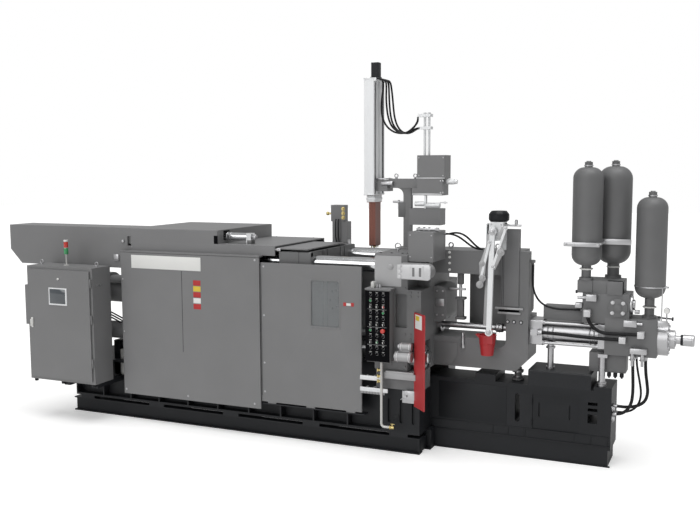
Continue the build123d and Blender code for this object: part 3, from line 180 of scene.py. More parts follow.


# Where edge wear is given, the lighter edge tone is part wear, part painted highlight on edges that catch
# the light.
finish_material("panel_grey", (0.178, 0.178, 0.180), 0.42, grain=420, bump=0.10, mottle=0.04, edge_wear_and_highlight=0.35,
                edge_wear_and_highlight_color=(0.28, 0.28, 0.29))
finish_material("casting_grey", (0.140, 0.141, 0.143), 0.5, grain=150, bump=0.28, mottle=0.08, edge_wear_and_highlight=0.4,
                edge_wear_and_highlight_color=(0.27, 0.27, 0.28))
finish_material("base_black", (0.008, 0.009, 0.011), 0.48, grain=120, bump=0.22, mottle=0.12, edge_wear_and_highlight=0.4,
                edge_wear_and_highlight_color=(0.035, 0.036, 0.04), specular=0.3)
finish_material("chrome", (0.66, 0.67, 0.68), 0.16, metallic=1, mottle=0.03, bump=0.01)
brushed_material("steel", (0.50, 0.50, 0.51), 0.28, (1, 9, 9))
brushed_material("aluminium", (0.80, 0.81, 0.82), 0.36, (12, 12, 1), 45, metallic=0.35)
finish_material("signal_red", (0.42, 0.020, 0.025), 0.42, grain=260, bump=0.10, edge_wear_and_highlight=0.3,
                edge_wear_and_highlight_color=(0.55, 0.12, 0.12))
finish_material("manifold_brown", (0.20, 0.075, 0.055), 0.38, metallic=0.4, grain=180, bump=0.15,
                mottle=0.14)
finish_material("panel_black", (0.010, 0.010, 0.011), 0.5, grain=350, bump=0.12, specular=0.3)
finish_material("motor_black", (0.007, 0.008, 0.010), 0.45, grain=300, bump=0.15, specular=0.3)
glass_material("window_clear", (0.40, 0.42, 0.43))
finish_material("lamp", (0.62, 0.62, 0.60), 0.2, mottle=0.03, bump=0.02, coat=0.4)
finish_material("hose_rubber", (0.005, 0.005, 0.006), 0.55, grain=600, bump=0.3, specular=0.3)
finish_material("pipe_white", (0.60, 0.60, 0.58), 0.4, mottle=0.05, bump=0.05)
pale_steel = brushed_material("pale_steel", (0.395, 0.395, 0.40), 0.42, (3, 3, 20), 30, metallic=0.6)
bright_steel = brushed_material("bright_steel", (0.62, 0.62, 0.63), 0.3, (1, 9, 9), metallic=0.3)
brass = finish_material("brass", (0.60, 0.49, 0.22), 0.3, metallic=1, mottle=0.1, bump=0.05)
card_white = finish_material("card_white", (0.78, 0.78, 0.76), 0.5, mottle=0.03, bump=0.02)
label_red = finish_material("label_red", (0.45, 0.02, 0.02), 0.45, mottle=0.05, bump=0.02)
label_yellow = finish_material("label_yellow", (0.72, 0.52, 0.04), 0.45, mottle=0.05, bump=0.02)
lamp_red = finish_material("lamp_red", (0.55, 0.03, 0.02), 0.2, mottle=0.05, bump=0.01, coat=0.6)
lamp_green = finish_material("lamp_green", (0.03, 0.30, 0.10), 0.2, mottle=0.05, bump=0.01, coat=0.6)
# Near black: the own colour of button caps, the panel face and dark seams, and painted shade where it fills
# the clamp gap, the door's fold and the cover's notch.
black_and_painted_shade = finish_material("black_and_painted_shade", (0.004, 0.004, 0.005), 0.8, mottle=0.05, bump=0.05,
                           specular=0.05)
screen_glass = finish_material("screen_glass", (0.05, 0.06, 0.07), 0.12, mottle=0.1, bump=0.01, coat=1)

finer = {"platen_units": pale_steel, "operator_panel": materials["panel_grey"]}
slots = {item["node"]: item["material_slot"] for item in frame["record"]["subparts"]}
for node, item in frame["nodes"].items():
    if item is None:
        continue
    for holder in item.material_slots:
        holder.link = "OBJECT"
        holder.material = finer.get(node, materials[slots[node]])


# Places that many pieces share
front, up, right, left, down = (0, -1, 0), (0, 0, 1), (1, 0, 0), (-1, 0, 0), (0, 0, -1)
guard_low, guard_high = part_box("front_guard")
door_low, door_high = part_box("safety_door")
window_low, window_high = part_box("door_window")
skid_low, skid_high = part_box("clamp_skid")
base_low, base_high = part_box("injection_base")
platen_low, platen_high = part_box("fixed_platen")
panel_low, panel_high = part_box("operator_panel")
mast_low, mast_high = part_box("spray_mast")
valve_low, valve_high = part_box("valve_block")
deck_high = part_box("top_deck")[1]
guard_y, door_y, platen_y, base_y = guard_low[1], door_low[1], platen_low[1], base_low[1]
shot_axis = 1.525


# Pieces: each is one mesh, built from a few forms

def grid(xs, ys, zs):
    """Every place at these x, y and z. Each is one number or a tuple of numbers."""
    return product(*[axis if isinstance(axis, tuple) else (axis,) for axis in (xs, ys, zs)])


class Piece:
    """A mesh that grows form by form and then rides on a body."""

    def __init__(self, name):
        self.name = name
        self.mesh = bmesh.new()

    def add(self, made, place=None, bevel=0.0):
        """Place what was just made and round its edges."""
        if place is not None:
            bmesh.ops.transform(self.mesh, matrix=place, verts=made)
        if bevel:
            edges = {edge for vert in made for edge in vert.link_edges}
            bmesh.ops.bevel(self.mesh, geom=list(edges), offset=bevel, segments=2, affect="EDGES",
                            profile=0.5, clamp_overlap=True)

    def box(self, x0, x1, y0, y1, z0, z1, bevel=0.003):
        """A block between two planes each way."""
        made = bmesh.ops.create_cube(self.mesh, size=1)["verts"]
        size = Matrix.Diagonal((x1 - x0, y1 - y0, z1 - z0, 1))
        middle = Matrix.Translation(((x0 + x1) / 2, (y0 + y1) / 2, (z0 + z1) / 2))
        self.add(made, middle @ size, bevel)

    def plate(self, x0, x1, z0, z1, face, proud, bevel=0.0, depth=0.0):
        """A block that stands proud of a front face and may reach into it."""
        self.box(x0, x1, face - proud, face + depth, z0, z1, bevel)

    def rod(self, start, end, radius, far_radius=None, sides=24, bevel=0.0):
        """A round or many-sided rod, which may taper."""
        start, end = Vector(start), Vector(end)
        run = end - start
        far = radius if far_radius is None else far_radius
        made = bmesh.ops.create_cone(self.mesh, cap_ends=True, segments=sides, radius1=radius,
                                     radius2=far, depth=run.length)["verts"]
        turn = run.to_track_quat("Z", "Y").to_matrix().to_4x4()
        self.add(made, Matrix.Translation((start + end) / 2) @ turn, bevel)

    def rod_x(self, x0, x1, y, z, radius, **more):
        """A rod along X."""
        self.rod((x0, y, z), (x1, y, z), radius, **more)

    def rod_y(self, y0, y1, x, z, radius, **more):
        """A rod along Y."""
        self.rod((x, y0, z), (x, y1, z), radius, **more)

    def rod_z(self, z0, z1, x, y, radius, **more):
        """A rod along Z."""
        self.rod((x, y, z0), (x, y, z1), radius, **more)

    def bolts(self, places, direction, radius, height=None):
        """Hexagon heads on their washers."""
        direction = Vector(direction)
        height = radius * 0.7 if height is None else height
        for at in map(Vector, places):
            self.rod(at, at + direction * height * 0.25, radius * 1.25, sides=16)
            self.rod(at, at + direction * height, radius, sides=6, bevel=radius * 0.08)

    def screws(self, places, direction, radius):
        """Round socket heads with their holes."""
        direction = Vector(direction)
        for at in map(Vector, places):
            self.rod(at, at + direction * radius, radius, sides=16, bevel=radius * 0.12)
            self.rod(at + direction * radius * 0.9, at + direction * radius * 1.02, radius * 0.5, sides=6)

    def ring(self, at, direction, radius, thickness, sides=32, around=10):
        """A torus around a direction."""
        turn = Vector(direction).to_track_quat("Z", "Y").to_matrix().to_4x4()
        place = Matrix.Translation(at) @ turn
        loops = []
        for i in range(sides):
            angle = 2 * pi * i / sides
            loop = []
            for j in range(around):
                lean = 2 * pi * j / around
                reach = radius + thickness * cos(lean)
                point = (reach * cos(angle), reach * sin(angle), thickness * sin(lean))
                loop.append(self.mesh.verts.new(place @ Vector(point)))
            loops.append(loop)
        for near, far in zip(loops, loops[1:] + loops[:1]):
            for j in range(around):
                k = (j + 1) % around
                self.mesh.faces.new((near[j], far[j], far[k], near[k]))

    def eyebolt(self, at, shank, height, middle, radius, thickness):
        """A standing ring on a short shank."""
        x, y, z = at
        self.rod_z(z, z + height, x, y, shank)
        self.ring((x, y, z + middle), front, radius, thickness)

    def prism(self, outline, push, bevel=0.0):
        """A flat outline of points, given thickness by a push."""
        near = [self.mesh.verts.new(point) for point in outline]
        far = [self.mesh.verts.new(Vector(point) + Vector(push)) for point in outline]
        self.mesh.faces.new(near)
        self.mesh.faces.new(far[::-1])
        for i in range(len(outline)):
            j = (i + 1) % len(outline)
            self.mesh.faces.new((near[j], near[i], far[i], far[j]))
        self.add(near + far, None, bevel)

    def sheet(self, outline, y, push, bevel=0.0):
        """An outline in x and z at one depth, given thickness along Y."""
        self.prism([(x, y, z) for x, z in outline], (0, push, 0), bevel)

    def tube(self, points, radius, sides=12):
        """A round tube through points, with its frame carried along."""
        points = [Vector(point) for point in points]
        ahead = (points[1] - points[0]).normalized()
        across = ahead.orthogonal().normalized()
        loops = []
        for i, point in enumerate(points):
            before = points[max(0, i - 1)]
            after = points[min(len(points) - 1, i + 1)]
            step = (after - before).normalized()
            across = (across - step * across.dot(step)).normalized()
            over = step.cross(across)
            loops.append([self.mesh.verts.new(point + (across * cos(2 * pi * j / sides)
                                                       + over * sin(2 * pi * j / sides)) * radius)
                          for j in range(sides)])
        for near, far in zip(loops, loops[1:]):
            for j in range(sides):
                k = (j + 1) % sides
                self.mesh.faces.new((near[j], near[k], far[k], far[j]))
        self.mesh.faces.new(loops[0][::-1])
        self.mesh.faces.new(loops[-1])

    def done(self, slot="steel", material=None, body="machine", smooth=True):
        """Turn the forms into an object, riding on a body where one is given."""
        bmesh.ops.recalc_face_normals(self.mesh, faces=self.mesh.faces)
        data = bpy.data.meshes.new(self.name)
        self.mesh.to_mesh(data)
        self.mesh.free()
        data.materials.append(material or materials[slot])
        if smooth:
            data.polygons.foreach_set("use_smooth", [True] * len(data.polygons))
            data.set_sharp_from_angle(angle=radians(35))
        piece = bpy.data.objects.new(self.name, data)
        bpy.context.collection.objects.link(piece)
        if body:
            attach(piece, body)
        return piece


# Hoses

def smooth_line(points, name):
    """A NURBS curve on given points, in metres."""
    data = bpy.data.curves.new(name, "CURVE")
    data.dimensions = "3D"
    data.resolution_u = 10
    data.bevel_resolution = 3
    data.use_fill_caps = True
    spline = data.splines.new("NURBS")
    spline.points.add(len(points) - 1)
    for knot, (x, y, z) in zip(spline.points, points):
        knot.co = (x, y, z, 1)
    spline.order_u = 3
    spline.use_endpoint_u = True
    line = bpy.data.objects.new(name, data)
    bpy.context.collection.objects.link(line)
    return line


def line_points(line):
    """The points that the NURBS curve passes, and its length."""
    bpy.context.view_layer.update()
    wire = bpy.data.meshes.new_from_object(line)
    points = [vertex.co.copy() for vertex in wire.vertices]
    bpy.data.meshes.remove(wire)
    return points, sum((b - a).length for a, b in zip(points, points[1:]))


def hose(name, node, diameter, route):
    """One hose as a smooth round curve in place of its CAD tube."""
    line = smooth_line(route, name)
    length = line_points(line)[1]
    line.data.bevel_depth = diameter / 2
    line.data.materials.append(materials["hose_rubber"])
    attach(line, "machine")
    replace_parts(line, node)


# Hoses from the mast's top to the tubes, hanging in loops that on the machine stretch out as the mast
# slides; here they are fixed tubes that do not follow it
spray_routes = (
    ((-0.495, -0.143, 4.615), (-0.450, -0.143, 4.615), (-0.412, -0.142, 4.583), (-0.406, -0.141, 4.500),
     (-0.428, -0.139, 4.385), (-0.440, -0.136, 4.262), (-0.430, -0.132, 4.140), (-0.385, -0.124, 4.030),
     (-0.300, -0.112, 3.953), (-0.205, -0.097, 3.926), (-0.115, -0.080, 3.935), (-0.050, -0.063, 3.985),
     (0.005, -0.050, 4.045), (0.020, -0.048, 4.086), (0.020, -0.048, 4.130)),
    ((-0.495, -0.040, 4.615), (-0.450, -0.040, 4.615), (-0.412, -0.040, 4.583), (-0.408, -0.039, 4.500),
     (-0.412, -0.038, 4.385), (-0.405, -0.037, 4.262), (-0.388, -0.035, 4.140), (-0.350, -0.033, 4.036),
     (-0.288, -0.031, 3.970), (-0.205, -0.028, 3.934), (-0.120, -0.025, 3.930), (-0.055, -0.023, 3.962),
     (-0.005, -0.021, 3.992), (0.040, -0.021, 3.992)),
    ((-0.495, 0.041, 4.615), (-0.450, 0.041, 4.615), (-0.412, 0.041, 4.583), (-0.404, 0.040, 4.500),
     (-0.400, 0.038, 4.385), (-0.392, 0.035, 4.262), (-0.376, 0.032, 4.140), (-0.338, 0.028, 4.030),
     (-0.262, 0.023, 3.953), (-0.165, 0.017, 3.930), (-0.082, 0.012, 3.968), (-0.032, 0.007, 4.032),
     (0.000, 0.004, 4.086), (0.000, 0.004, 4.130)),
    ((-0.495, 0.119, 4.615), (-0.450, 0.119, 4.615), (-0.412, 0.118, 4.583), (-0.396, 0.114, 4.500),
     (-0.380, 0.108, 4.385), (-0.366, 0.100, 4.262), (-0.348, 0.092, 4.140), (-0.310, 0.082, 4.036),
     (-0.252, 0.072, 3.962), (-0.172, 0.060, 3.928), (-0.098, 0.046, 3.942), (-0.050, 0.034, 3.968),
     (-0.005, 0.027, 3.992), (0.040, 0.027, 3.992)),
)
for number, route in enumerate(spray_routes):
    guide = smooth_line(route, "guide")
    points, length = line_points(guide)
    bpy.data.objects.remove(guide)
    tube = Piece(f"spray_hose_{number + 1}")
    tube.tube(points, 0.012)
    spray_hose = tube.done("hose_rubber", body=None)
    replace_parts(spray_hose, "spray_hoses")
    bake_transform(spray_hose)

hose("frame_hose_line", "frame_hose", 0.024, [(x, -0.150, z) for x, z in (
    (1.515, 2.365), (1.515, 2.300), (1.511, 2.195), (1.518, 2.085), (1.545, 1.985), (1.605, 1.895),
    (1.700, 1.842), (1.825, 1.824), (1.950, 1.827), (2.050, 1.830), (2.110, 1.830))])
hose("shot_hose_1", "shot_hoses", 0.040, [(x, -0.250, z) for x, z in (
    (2.177, 1.850), (2.177, 1.770), (2.211, 1.689), (2.273, 1.627), (2.354, 1.593), (2.450, 1.589),
    (2.560, 1.592), (2.665, 1.596), (2.743, 1.596))])
hose("shot_hose_2", "shot_hoses", 0.040, (
    (1.600, -0.215, 1.540), (1.720, -0.215, 1.540), (1.880, -0.221, 1.536), (2.060, -0.237, 1.529),
    (2.240, -0.249, 1.525), (2.400, -0.250, 1.524), (2.543, -0.250, 1.524)))
hose("hanging_hose_1", "hanging_hoses", 0.036, (
    (2.690, -0.160, 1.330), (2.690, -0.160, 1.230), (2.697, -0.161, 1.080), (2.702, -0.162, 0.930),
    (2.694, -0.163, 0.800), (2.662, -0.164, 0.712), (2.604, -0.165, 0.652), (2.536, -0.165, 0.628),
    (2.476, -0.165, 0.628)))
hose("hanging_hose_2", "hanging_hoses", 0.036, (
    (2.825, -0.100, 1.330), (2.825, -0.100, 1.240), (2.832, -0.100, 1.120), (2.850, -0.102, 1.005),
    (2.862, -0.105, 0.900), (2.838, -0.108, 0.805), (2.775, -0.111, 0.748), (2.695, -0.114, 0.720),
    (2.610, -0.116, 0.710), (2.540, -0.116, 0.712), (2.476, -0.116, 0.712)))
hose("hanging_hose_3", "hanging_hoses", 0.025, (
    (2.720, -0.050, 1.330), (2.720, -0.050, 1.250), (2.738, -0.050, 1.130), (2.765, -0.052, 1.000),
    (2.785, -0.054, 0.870), (2.765, -0.056, 0.755), (2.705, -0.058, 0.675), (2.620, -0.060, 0.636),
    (2.540, -0.060, 0.628), (2.476, -0.060, 0.628)))
hose("ladle_hose_1", "ladle_hoses", 0.024, (
    (0.455, -0.300, 2.692), (0.510, -0.300, 2.692), (0.585, -0.297, 2.712), (0.665, -0.288, 2.704),
    (0.738, -0.272, 2.660), (0.795, -0.255, 2.598), (0.845, -0.235, 2.545), (0.900, -0.220, 2.508),
    (0.950, -0.220, 2.508)))
hose("ladle_hose_2", "ladle_hoses", 0.024, (
    (0.455, -0.262, 2.692), (0.510, -0.262, 2.692), (0.575, -0.256, 2.680), (0.645, -0.246, 2.645),
    (0.710, -0.232, 2.595), (0.770, -0.216, 2.546), (0.835, -0.196, 2.514), (0.900, -0.185, 2.508),
    (0.950, -0.185, 2.508)))


# Dressing of each part of the machine

def button_panel():
    """Black face, keys, lamps and a stop button of the operator panel, and what stands on its top."""
    face = panel_low[1] - 0.003
    middle = (panel_low[0] + panel_high[0]) / 2 - 0.008
    first_row = panel_high[2] - 0.075
    key_pitch, row_pitch, key_radius = 0.082, 0.072, 0.0135
    coloured = {(2, 2): "red", (3, 2): "green", (1, 0): "green", (6, 0): "green", (8, 1): "green"}
    stop_key = (6, 2)
    rims = Piece("panel_rims")
    caps = Piece("panel_caps")
    marks = Piece("panel_marks")
    lamps = {"red": Piece("panel_lamps_red"), "green": Piece("panel_lamps_green")}
    for row, column in product(range(11), range(3)):
        x = middle + (column - 1) * key_pitch
        z = first_row - row * row_pitch
        if (row, column) == stop_key:
            lamps["red"].rod_y(face, face - 0.032, x, z, key_radius * 2, sides=28, bevel=0.006)
            continue
        cap = lamps[coloured[row, column]] if (row, column) in coloured else caps
        rims.ring((x, face, z), front, 0.0165, 0.0018, sides=20, around=6)
        cap.rod_y(face, face - 0.012, x, z, key_radius, sides=20, bevel=0.002)
        marks.plate(x - 0.014, x + 0.014, z + 0.026, z + 0.030, face, 0.0012, depth=0.001)
        if row % 3 == 2:
            marks.plate(x - 0.003, x + 0.003, z - 0.012, z + 0.012, face - 0.012, 0.014, 0.001)
    rims.done("pipe_white", pale_steel)
    caps.done("panel_black", black_and_painted_shade)
    marks.done("pipe_white", card_white, smooth=False)
    lamps["red"].done("signal_red", lamp_red)
    lamps["green"].done("lamp", lamp_green)
    sheet = Piece("panel_face")
    sheet.plate(panel_low[0] + 0.010, panel_high[0] - 0.018, panel_low[2] + 0.008, panel_high[2] - 0.030,
                face, 0.0005, depth=0.018)
    sheet.done("panel_black", black_and_painted_shade, smooth=False)
    seams = Piece("panel_seams")
    for rows_above in (2.5, 5.5, 8.5):
        z = first_row - rows_above * row_pitch + 0.004
        seams.plate(middle - 0.125, middle + 0.125, z, z + 0.002, face, 0.0015, depth=0.001)
    seams.done(smooth=False)
    socket = Piece("panel_top_box")
    socket.box(-0.284, -0.245, -0.870, -0.800, panel_high[2], panel_high[2] + 0.075, 0.004)
    socket.done("pipe_white")
    fittings = Piece("panel_top_fittings")
    for x in (-0.215, -0.180):
        fittings.rod_z(panel_high[2], panel_high[2] + 0.045, x, -0.830, 0.012)
    fittings.bolts(grid((-0.215, -0.180), -0.830, panel_high[2] + 0.016), up, 0.017, 0.012)
    fittings.done()


def guard_details():
    """Seams and screws, the plain plate and the plain signs of the guard and the safety door."""
    seam_x = -3.030
    seams = Piece("guard_seams")
    seams.plate(seam_x - 0.0025, seam_x + 0.0025, 1.044, 2.142, guard_y, 0.0012, depth=0.004)
    seams.plate(guard_low[0], guard_high[0], guard_high[2] - 0.024, guard_high[2] - 0.020, guard_y,
                0.0012, depth=0.004)
    seams.done("panel_grey", black_and_painted_shade, smooth=False)
    screws = Piece("guard_screws")
    screws.bolts(grid((-3.984, -2.967, -1.939), guard_y, guard_low[2] + 0.060), front, 0.012)
    screws.bolts([(guard_high[0] - 0.060, guard_y, guard_high[2] - 0.055)], front, 0.012)
    screws.bolts(grid(guard_low[0] + 0.030, guard_y, (1.26, 1.99)), front, 0.010)
    screws.done()
    plate = Piece("plain_plate")
    plate.plate(-3.842, -2.728, 2.150, 2.330, guard_y, 0.003, 0.001)
    plate.done("pipe_white", card_white)
    lowest_sign, sign_pitch, sign_height = 1.640, 0.079, 0.070
    for number, material in enumerate((label_red, card_white, label_red, label_yellow, label_red)):
        low = lowest_sign + number * sign_pitch
        sign = Piece(f"plain_sign_{number + 1}")
        sign.plate(-2.850, -2.735, low, low + sign_height, guard_y, 0.002, 0.0008)
        sign.done("panel_grey", material)
    bar = 0.020
    rim = Piece("door_rim")
    for z in (window_low[2] - bar, window_high[2]):
        rim.plate(window_low[0] - bar, window_high[0] + bar, z, z + bar, door_y, 0.003, 0.001)
    for x in (window_low[0] - bar, window_high[0]):
        rim.plate(x, x + bar, window_low[2], window_high[2], door_y, 0.003, 0.001)
    rim.done("panel_grey", body="safety_door")
    screws = Piece("door_screws")
    columns = tuple(window_low[0] + (window_high[0] - window_low[0]) * share / 6 for share in range(7))
    rows = (window_low[2] - bar / 2, window_high[2] + bar / 2)
    screws.screws(grid(columns, door_y - 0.003, rows), front, 0.003)
    screws.bolts(grid(door_low[0] + 0.050, door_y, (0.62, 1.00, 1.62, 2.25)), front, 0.010, 0.004)
    screws.done(body="safety_door")
    sign = Piece("door_sign")
    for x in (-0.681, -0.580):
        sign.plate(x, x + 0.040, 1.805, 1.850, door_y, 0.0025, 0.0005)
    sign.done("signal_red", label_red, "safety_door")
    card = Piece("door_sign_card")
    card.plate(-0.641, -0.580, 1.812, 1.843, door_y, 0.0025, 0.0005)
    card.done("pipe_white", card_white, "safety_door")
    # Painted shade: a thin near-black strip stands for the shade along the door's folded left edge.
    fold_shade = Piece("door_fold_shade")
    fold_shade.plate(door_low[0] + 0.012, door_low[0] + 0.015, door_low[2] + 0.10, door_high[2], door_y, 0.001,
               depth=0.003)
    fold_shade.done("panel_grey", black_and_painted_shade, "safety_door", smooth=False)


def base_details():
    """Bolts on the pads, the base's beam and ribs, the joining beam, hatch hinges and pipe ends."""
    bolts = Piece("base_bolts")
    pads = tuple(-1.2 * i + side for i in range(5) for side in (-0.08, 0.08))
    bolts.bolts(grid(pads, -0.640, skid_high[2] + 0.030), up, 0.010)
    bolts.done("base_black")
    beam = Piece("base_beam")
    beam.plate(base_low[0], base_high[0], 0.236, 0.252, base_y, 0.011, 0.002, 0.002)
    beam.plate(base_low[0], base_high[0], 0.000, 0.018, base_y, 0.011, 0.002, 0.002)
    beam.plate(base_low[0], base_high[0] - 0.020, 0.356, 0.366, base_y, 0.006, 0.002, 0.002)
    for x in (1.074, 1.264, 1.470, 2.052, 2.247, 2.440):
        beam.plate(x - 0.007, x + 0.007, 0.252, 0.356, base_y, 0.008, 0.002, 0.002)
    beam.plate(0.383, 1.245, 0.385, 0.850, base_y, 0.004, 0.002, 0.002)
    beam.done("base_black")
    link = Piece("joining_beam")
    x0, x1 = skid_high[0] - 0.060, base_low[0] + 0.060
    link.box(x0, x1, base_y - 0.150, 0.245, 0.018, 0.236, 0.004)
    for z0, z1 in ((0.000, 0.018), (0.236, 0.252)):
        link.box(x0, x1, base_y - 0.180, 0.260, z0, z1, 0.002)
    link.box(skid_high[0] - 0.030, skid_high[0] - 0.004, skid_low[1] + 0.010, base_y, 0.016, 0.184, 0.002)
    link.done("base_black")
    square = Piece("nose_cover")
    bed_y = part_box("clamp_bed")[0][1]
    square.plate(-0.060, 0.010, 0.395, 0.470, bed_y, 0.006, 0.002)
    square.bolts([(-0.050, bed_y - 0.006, 0.405), (0.000, bed_y - 0.006, 0.460)], front, 0.006)
    square.done("base_black")
    hinges = Piece("hatch_hinges")
    for z in (0.44, 0.70):
        hinges.rod_z(z - 0.03, z + 0.03, 1.552, base_y - 0.004, 0.008)
    hinges.done("base_black")
    pipes = Piece("base_end_pipes")
    for z in (0.700, 0.575):
        pipes.rod_x(base_high[0], base_high[0] + 0.030, -0.190, z, 0.026)
    pipes.bolts(grid(base_high[0] + 0.010, -0.190, (0.700, 0.575)), right, 0.034, 0.014)
    pipes.done()


def platen_details():
    """Pin, eyebolt, seam and bolts of the fixed platen."""
    roof = platen_high[2]
    pins = Piece("platen_pins")
    pins.rod_y(platen_y, platen_y - 0.012, -0.080, 2.309, 0.036, sides=32, bevel=0.005)
    pins.rod_y(platen_y - 0.011, platen_y - 0.018, -0.080, 2.309, 0.016, sides=6)
    pins.done(material=pale_steel)
    eye = Piece("platen_eyebolt")
    eye.eyebolt((-0.100, -0.430, roof), 0.014, 0.032, 0.070, 0.036, 0.008)
    eye.done()
    seams = Piece("platen_seams")
    seams.plate(-0.060, -0.057, 1.10, 2.07, platen_y, 0.001, depth=0.004)
    seams.done("casting_grey", black_and_painted_shade, smooth=False)
    bolts = Piece("platen_bolts")
    bolts.screws(grid(0.110, platen_y, (1.10, 1.30, 1.50, 2.06)), front, 0.014)
    bolts.screws(grid((0.180, 0.270), platen_y, (1.445, 1.500, 1.960, 2.010)), front, 0.012)
    for x in (-0.24, -0.10, 0.04, 0.11):
        bolts.rod_z(roof - 0.001, roof + 0.012, x, -0.65, 0.014)
    bolts.done("casting_grey")


def platen_unit_details():
    """The bar across the platen's units, its screws and slots, and the bands of the cylinders below."""
    unit_y = -0.910
    bar = Piece("unit_bar")
    bar.sheet(((0.070, 2.200), (0.455, 2.186), (0.482, 2.206), (0.488, 2.350), (0.462, 2.374),
               (0.070, 2.362)), unit_y + 0.012, -0.012, 0.003)
    bar.plate(0.225, 0.405, 2.205, 2.355, unit_y, 0.006, 0.003, 0.002)
    bar.plate(0.440, 0.484, 2.215, 2.338, unit_y, 0.008, 0.003, 0.002)
    bar.done(material=bright_steel)
    screws = Piece("unit_screws")
    for z in (2.343, 2.281, 2.219):
        screws.rod_y(unit_y, unit_y - 0.012, 0.100, z, 0.022, bevel=0.003)
    screws.screws(grid((0.240, 0.300, 0.332, 0.390), unit_y - 0.006, (2.216, 2.344)), front, 0.006)
    screws.screws(grid(0.462, unit_y - 0.008, (2.235, 2.318)), front, 0.008)
    screws.done(material=bright_steel)
    slits = Piece("unit_slots")
    for x in (0.275, 0.358):
        slits.plate(x - 0.014, x + 0.014, 2.228, 2.332, unit_y - 0.004, 0.0032)
    slits.done("casting_grey", smooth=False)
    cylinder_y, low_z, high_z = -0.820, 1.239, 1.363
    bands = Piece("cylinder_bands")
    for x, z, radius in ((0.050, low_z, 0.064), (0.200, low_z, 0.064), (0.095, high_z, 0.043),
                         (0.200, high_z, 0.043)):
        bands.ring((x, cylinder_y, z), right, radius, 0.004, sides=36)
    bands.rod_x(0.072, 0.052, cylinder_y, high_z, 0.022, bevel=0.003)
    bands.rod_x(0.021, 0.004, cylinder_y, low_z, 0.034, sides=28, bevel=0.004)
    bands.done("aluminium")


def platen_fitting_details():
    """Machined corner, ledge, switch, bars and brass taps on and below the platen."""
    machined = Piece("machined_corner")
    machined.sheet(((-0.284, 2.075), (0.060, 2.075), (0.060, 2.444), (-0.264, 2.444), (-0.284, 2.424)),
                   platen_y, -0.002)
    machined.done(material=pale_steel)
    ledge = Piece("lower_ledge")
    ledge.plate(-0.148, 0.262, 0.945, 1.020, platen_y, 0.050, 0.006)
    ledge.plate(-0.120, 0.240, 1.020, 1.045, platen_y, 0.060, 0.003)
    ledge.done("casting_grey", pale_steel)
    switch = Piece("limit_switch")
    switch.box(0.110, 0.240, -0.760, -0.700, 0.690, 0.810, 0.006)
    switch.rod_y(-0.770, -0.785, 0.130, 0.740, 0.014)
    switch.rod((0.130, -0.780, 0.740), (0.070, -0.780, 0.700), 0.006)
    switch.box(0.060, 0.275, -0.700, -0.670, 0.640, 0.790, 0.003)
    switch.done()
    bars = Piece("silver_bars")
    bars.box(-0.453, -0.174, -0.812, -0.788, 0.910, 0.965, 0.004)
    bars.box(-0.453, -0.090, -0.812, -0.788, 0.768, 0.818, 0.004)
    bars.screws(grid((-0.40, -0.30, -0.22), -0.812, 0.793), front, 0.009)
    for x, z in product((-0.40, -0.30, -0.22), (0.782, 0.925)):
        bars.box(x - 0.010, x + 0.010, -0.790, -0.670, z, z + 0.022, 0.002)
    bars.done("aluminium")
    rack = Piece("serrated_bar")
    for i in range(16):
        x = -0.445 + i * 0.020
        rack.box(x, x + 0.012, -0.806, -0.792, 0.738, 0.769, 0.002)
    rack.done()
    taps = Piece("brass_taps")
    pipe_y, tap_levels, drain_z = -0.820, (0.910, 0.975, 1.050), 0.350
    for z in tap_levels:
        taps.rod_x(-0.215, -0.175, pipe_y, z, 0.014)
        taps.rod_z(z - 0.020, z + 0.020, -0.215, pipe_y, 0.010)
    taps.bolts(grid(-0.200, pipe_y, tap_levels), left, 0.018, 0.012)
    taps.rod_x(-0.060, 0.000, pipe_y, drain_z, 0.019, sides=20)
    taps.bolts([(-0.052, pipe_y, drain_z)], right, 0.024, 0.016)
    taps.rod_z(drain_z, 0.392, -0.025, pipe_y, 0.009)
    taps.box(-0.045, 0.010, -0.828, -0.812, 0.390, 0.398, 0.002)
    taps.done(material=brass)


def red_guard_details():
    """The two cards on the slanted red guard."""
    guard_middle = Vector((0.290, -0.812, 0))
    along = Vector((1, -1, 0)).normalized()
    out = Vector((-1, -1, 0)).normalized() * 0.0025
    for name, near, far, low, high, lift, material in (
            ("red_guard_card", -0.050, 0.125, 1.590, 1.760, 0, card_white),
            ("red_guard_mark", -0.030, 0.060, 1.690, 1.745, 1, label_yellow)):
        label = Piece(name)
        label.prism([guard_middle + along * share + out * lift + Vector((0, 0, z))
                     for share, z in ((near, low), (far, low), (far, high), (near, high))], out)
        label.done("pipe_white", material)


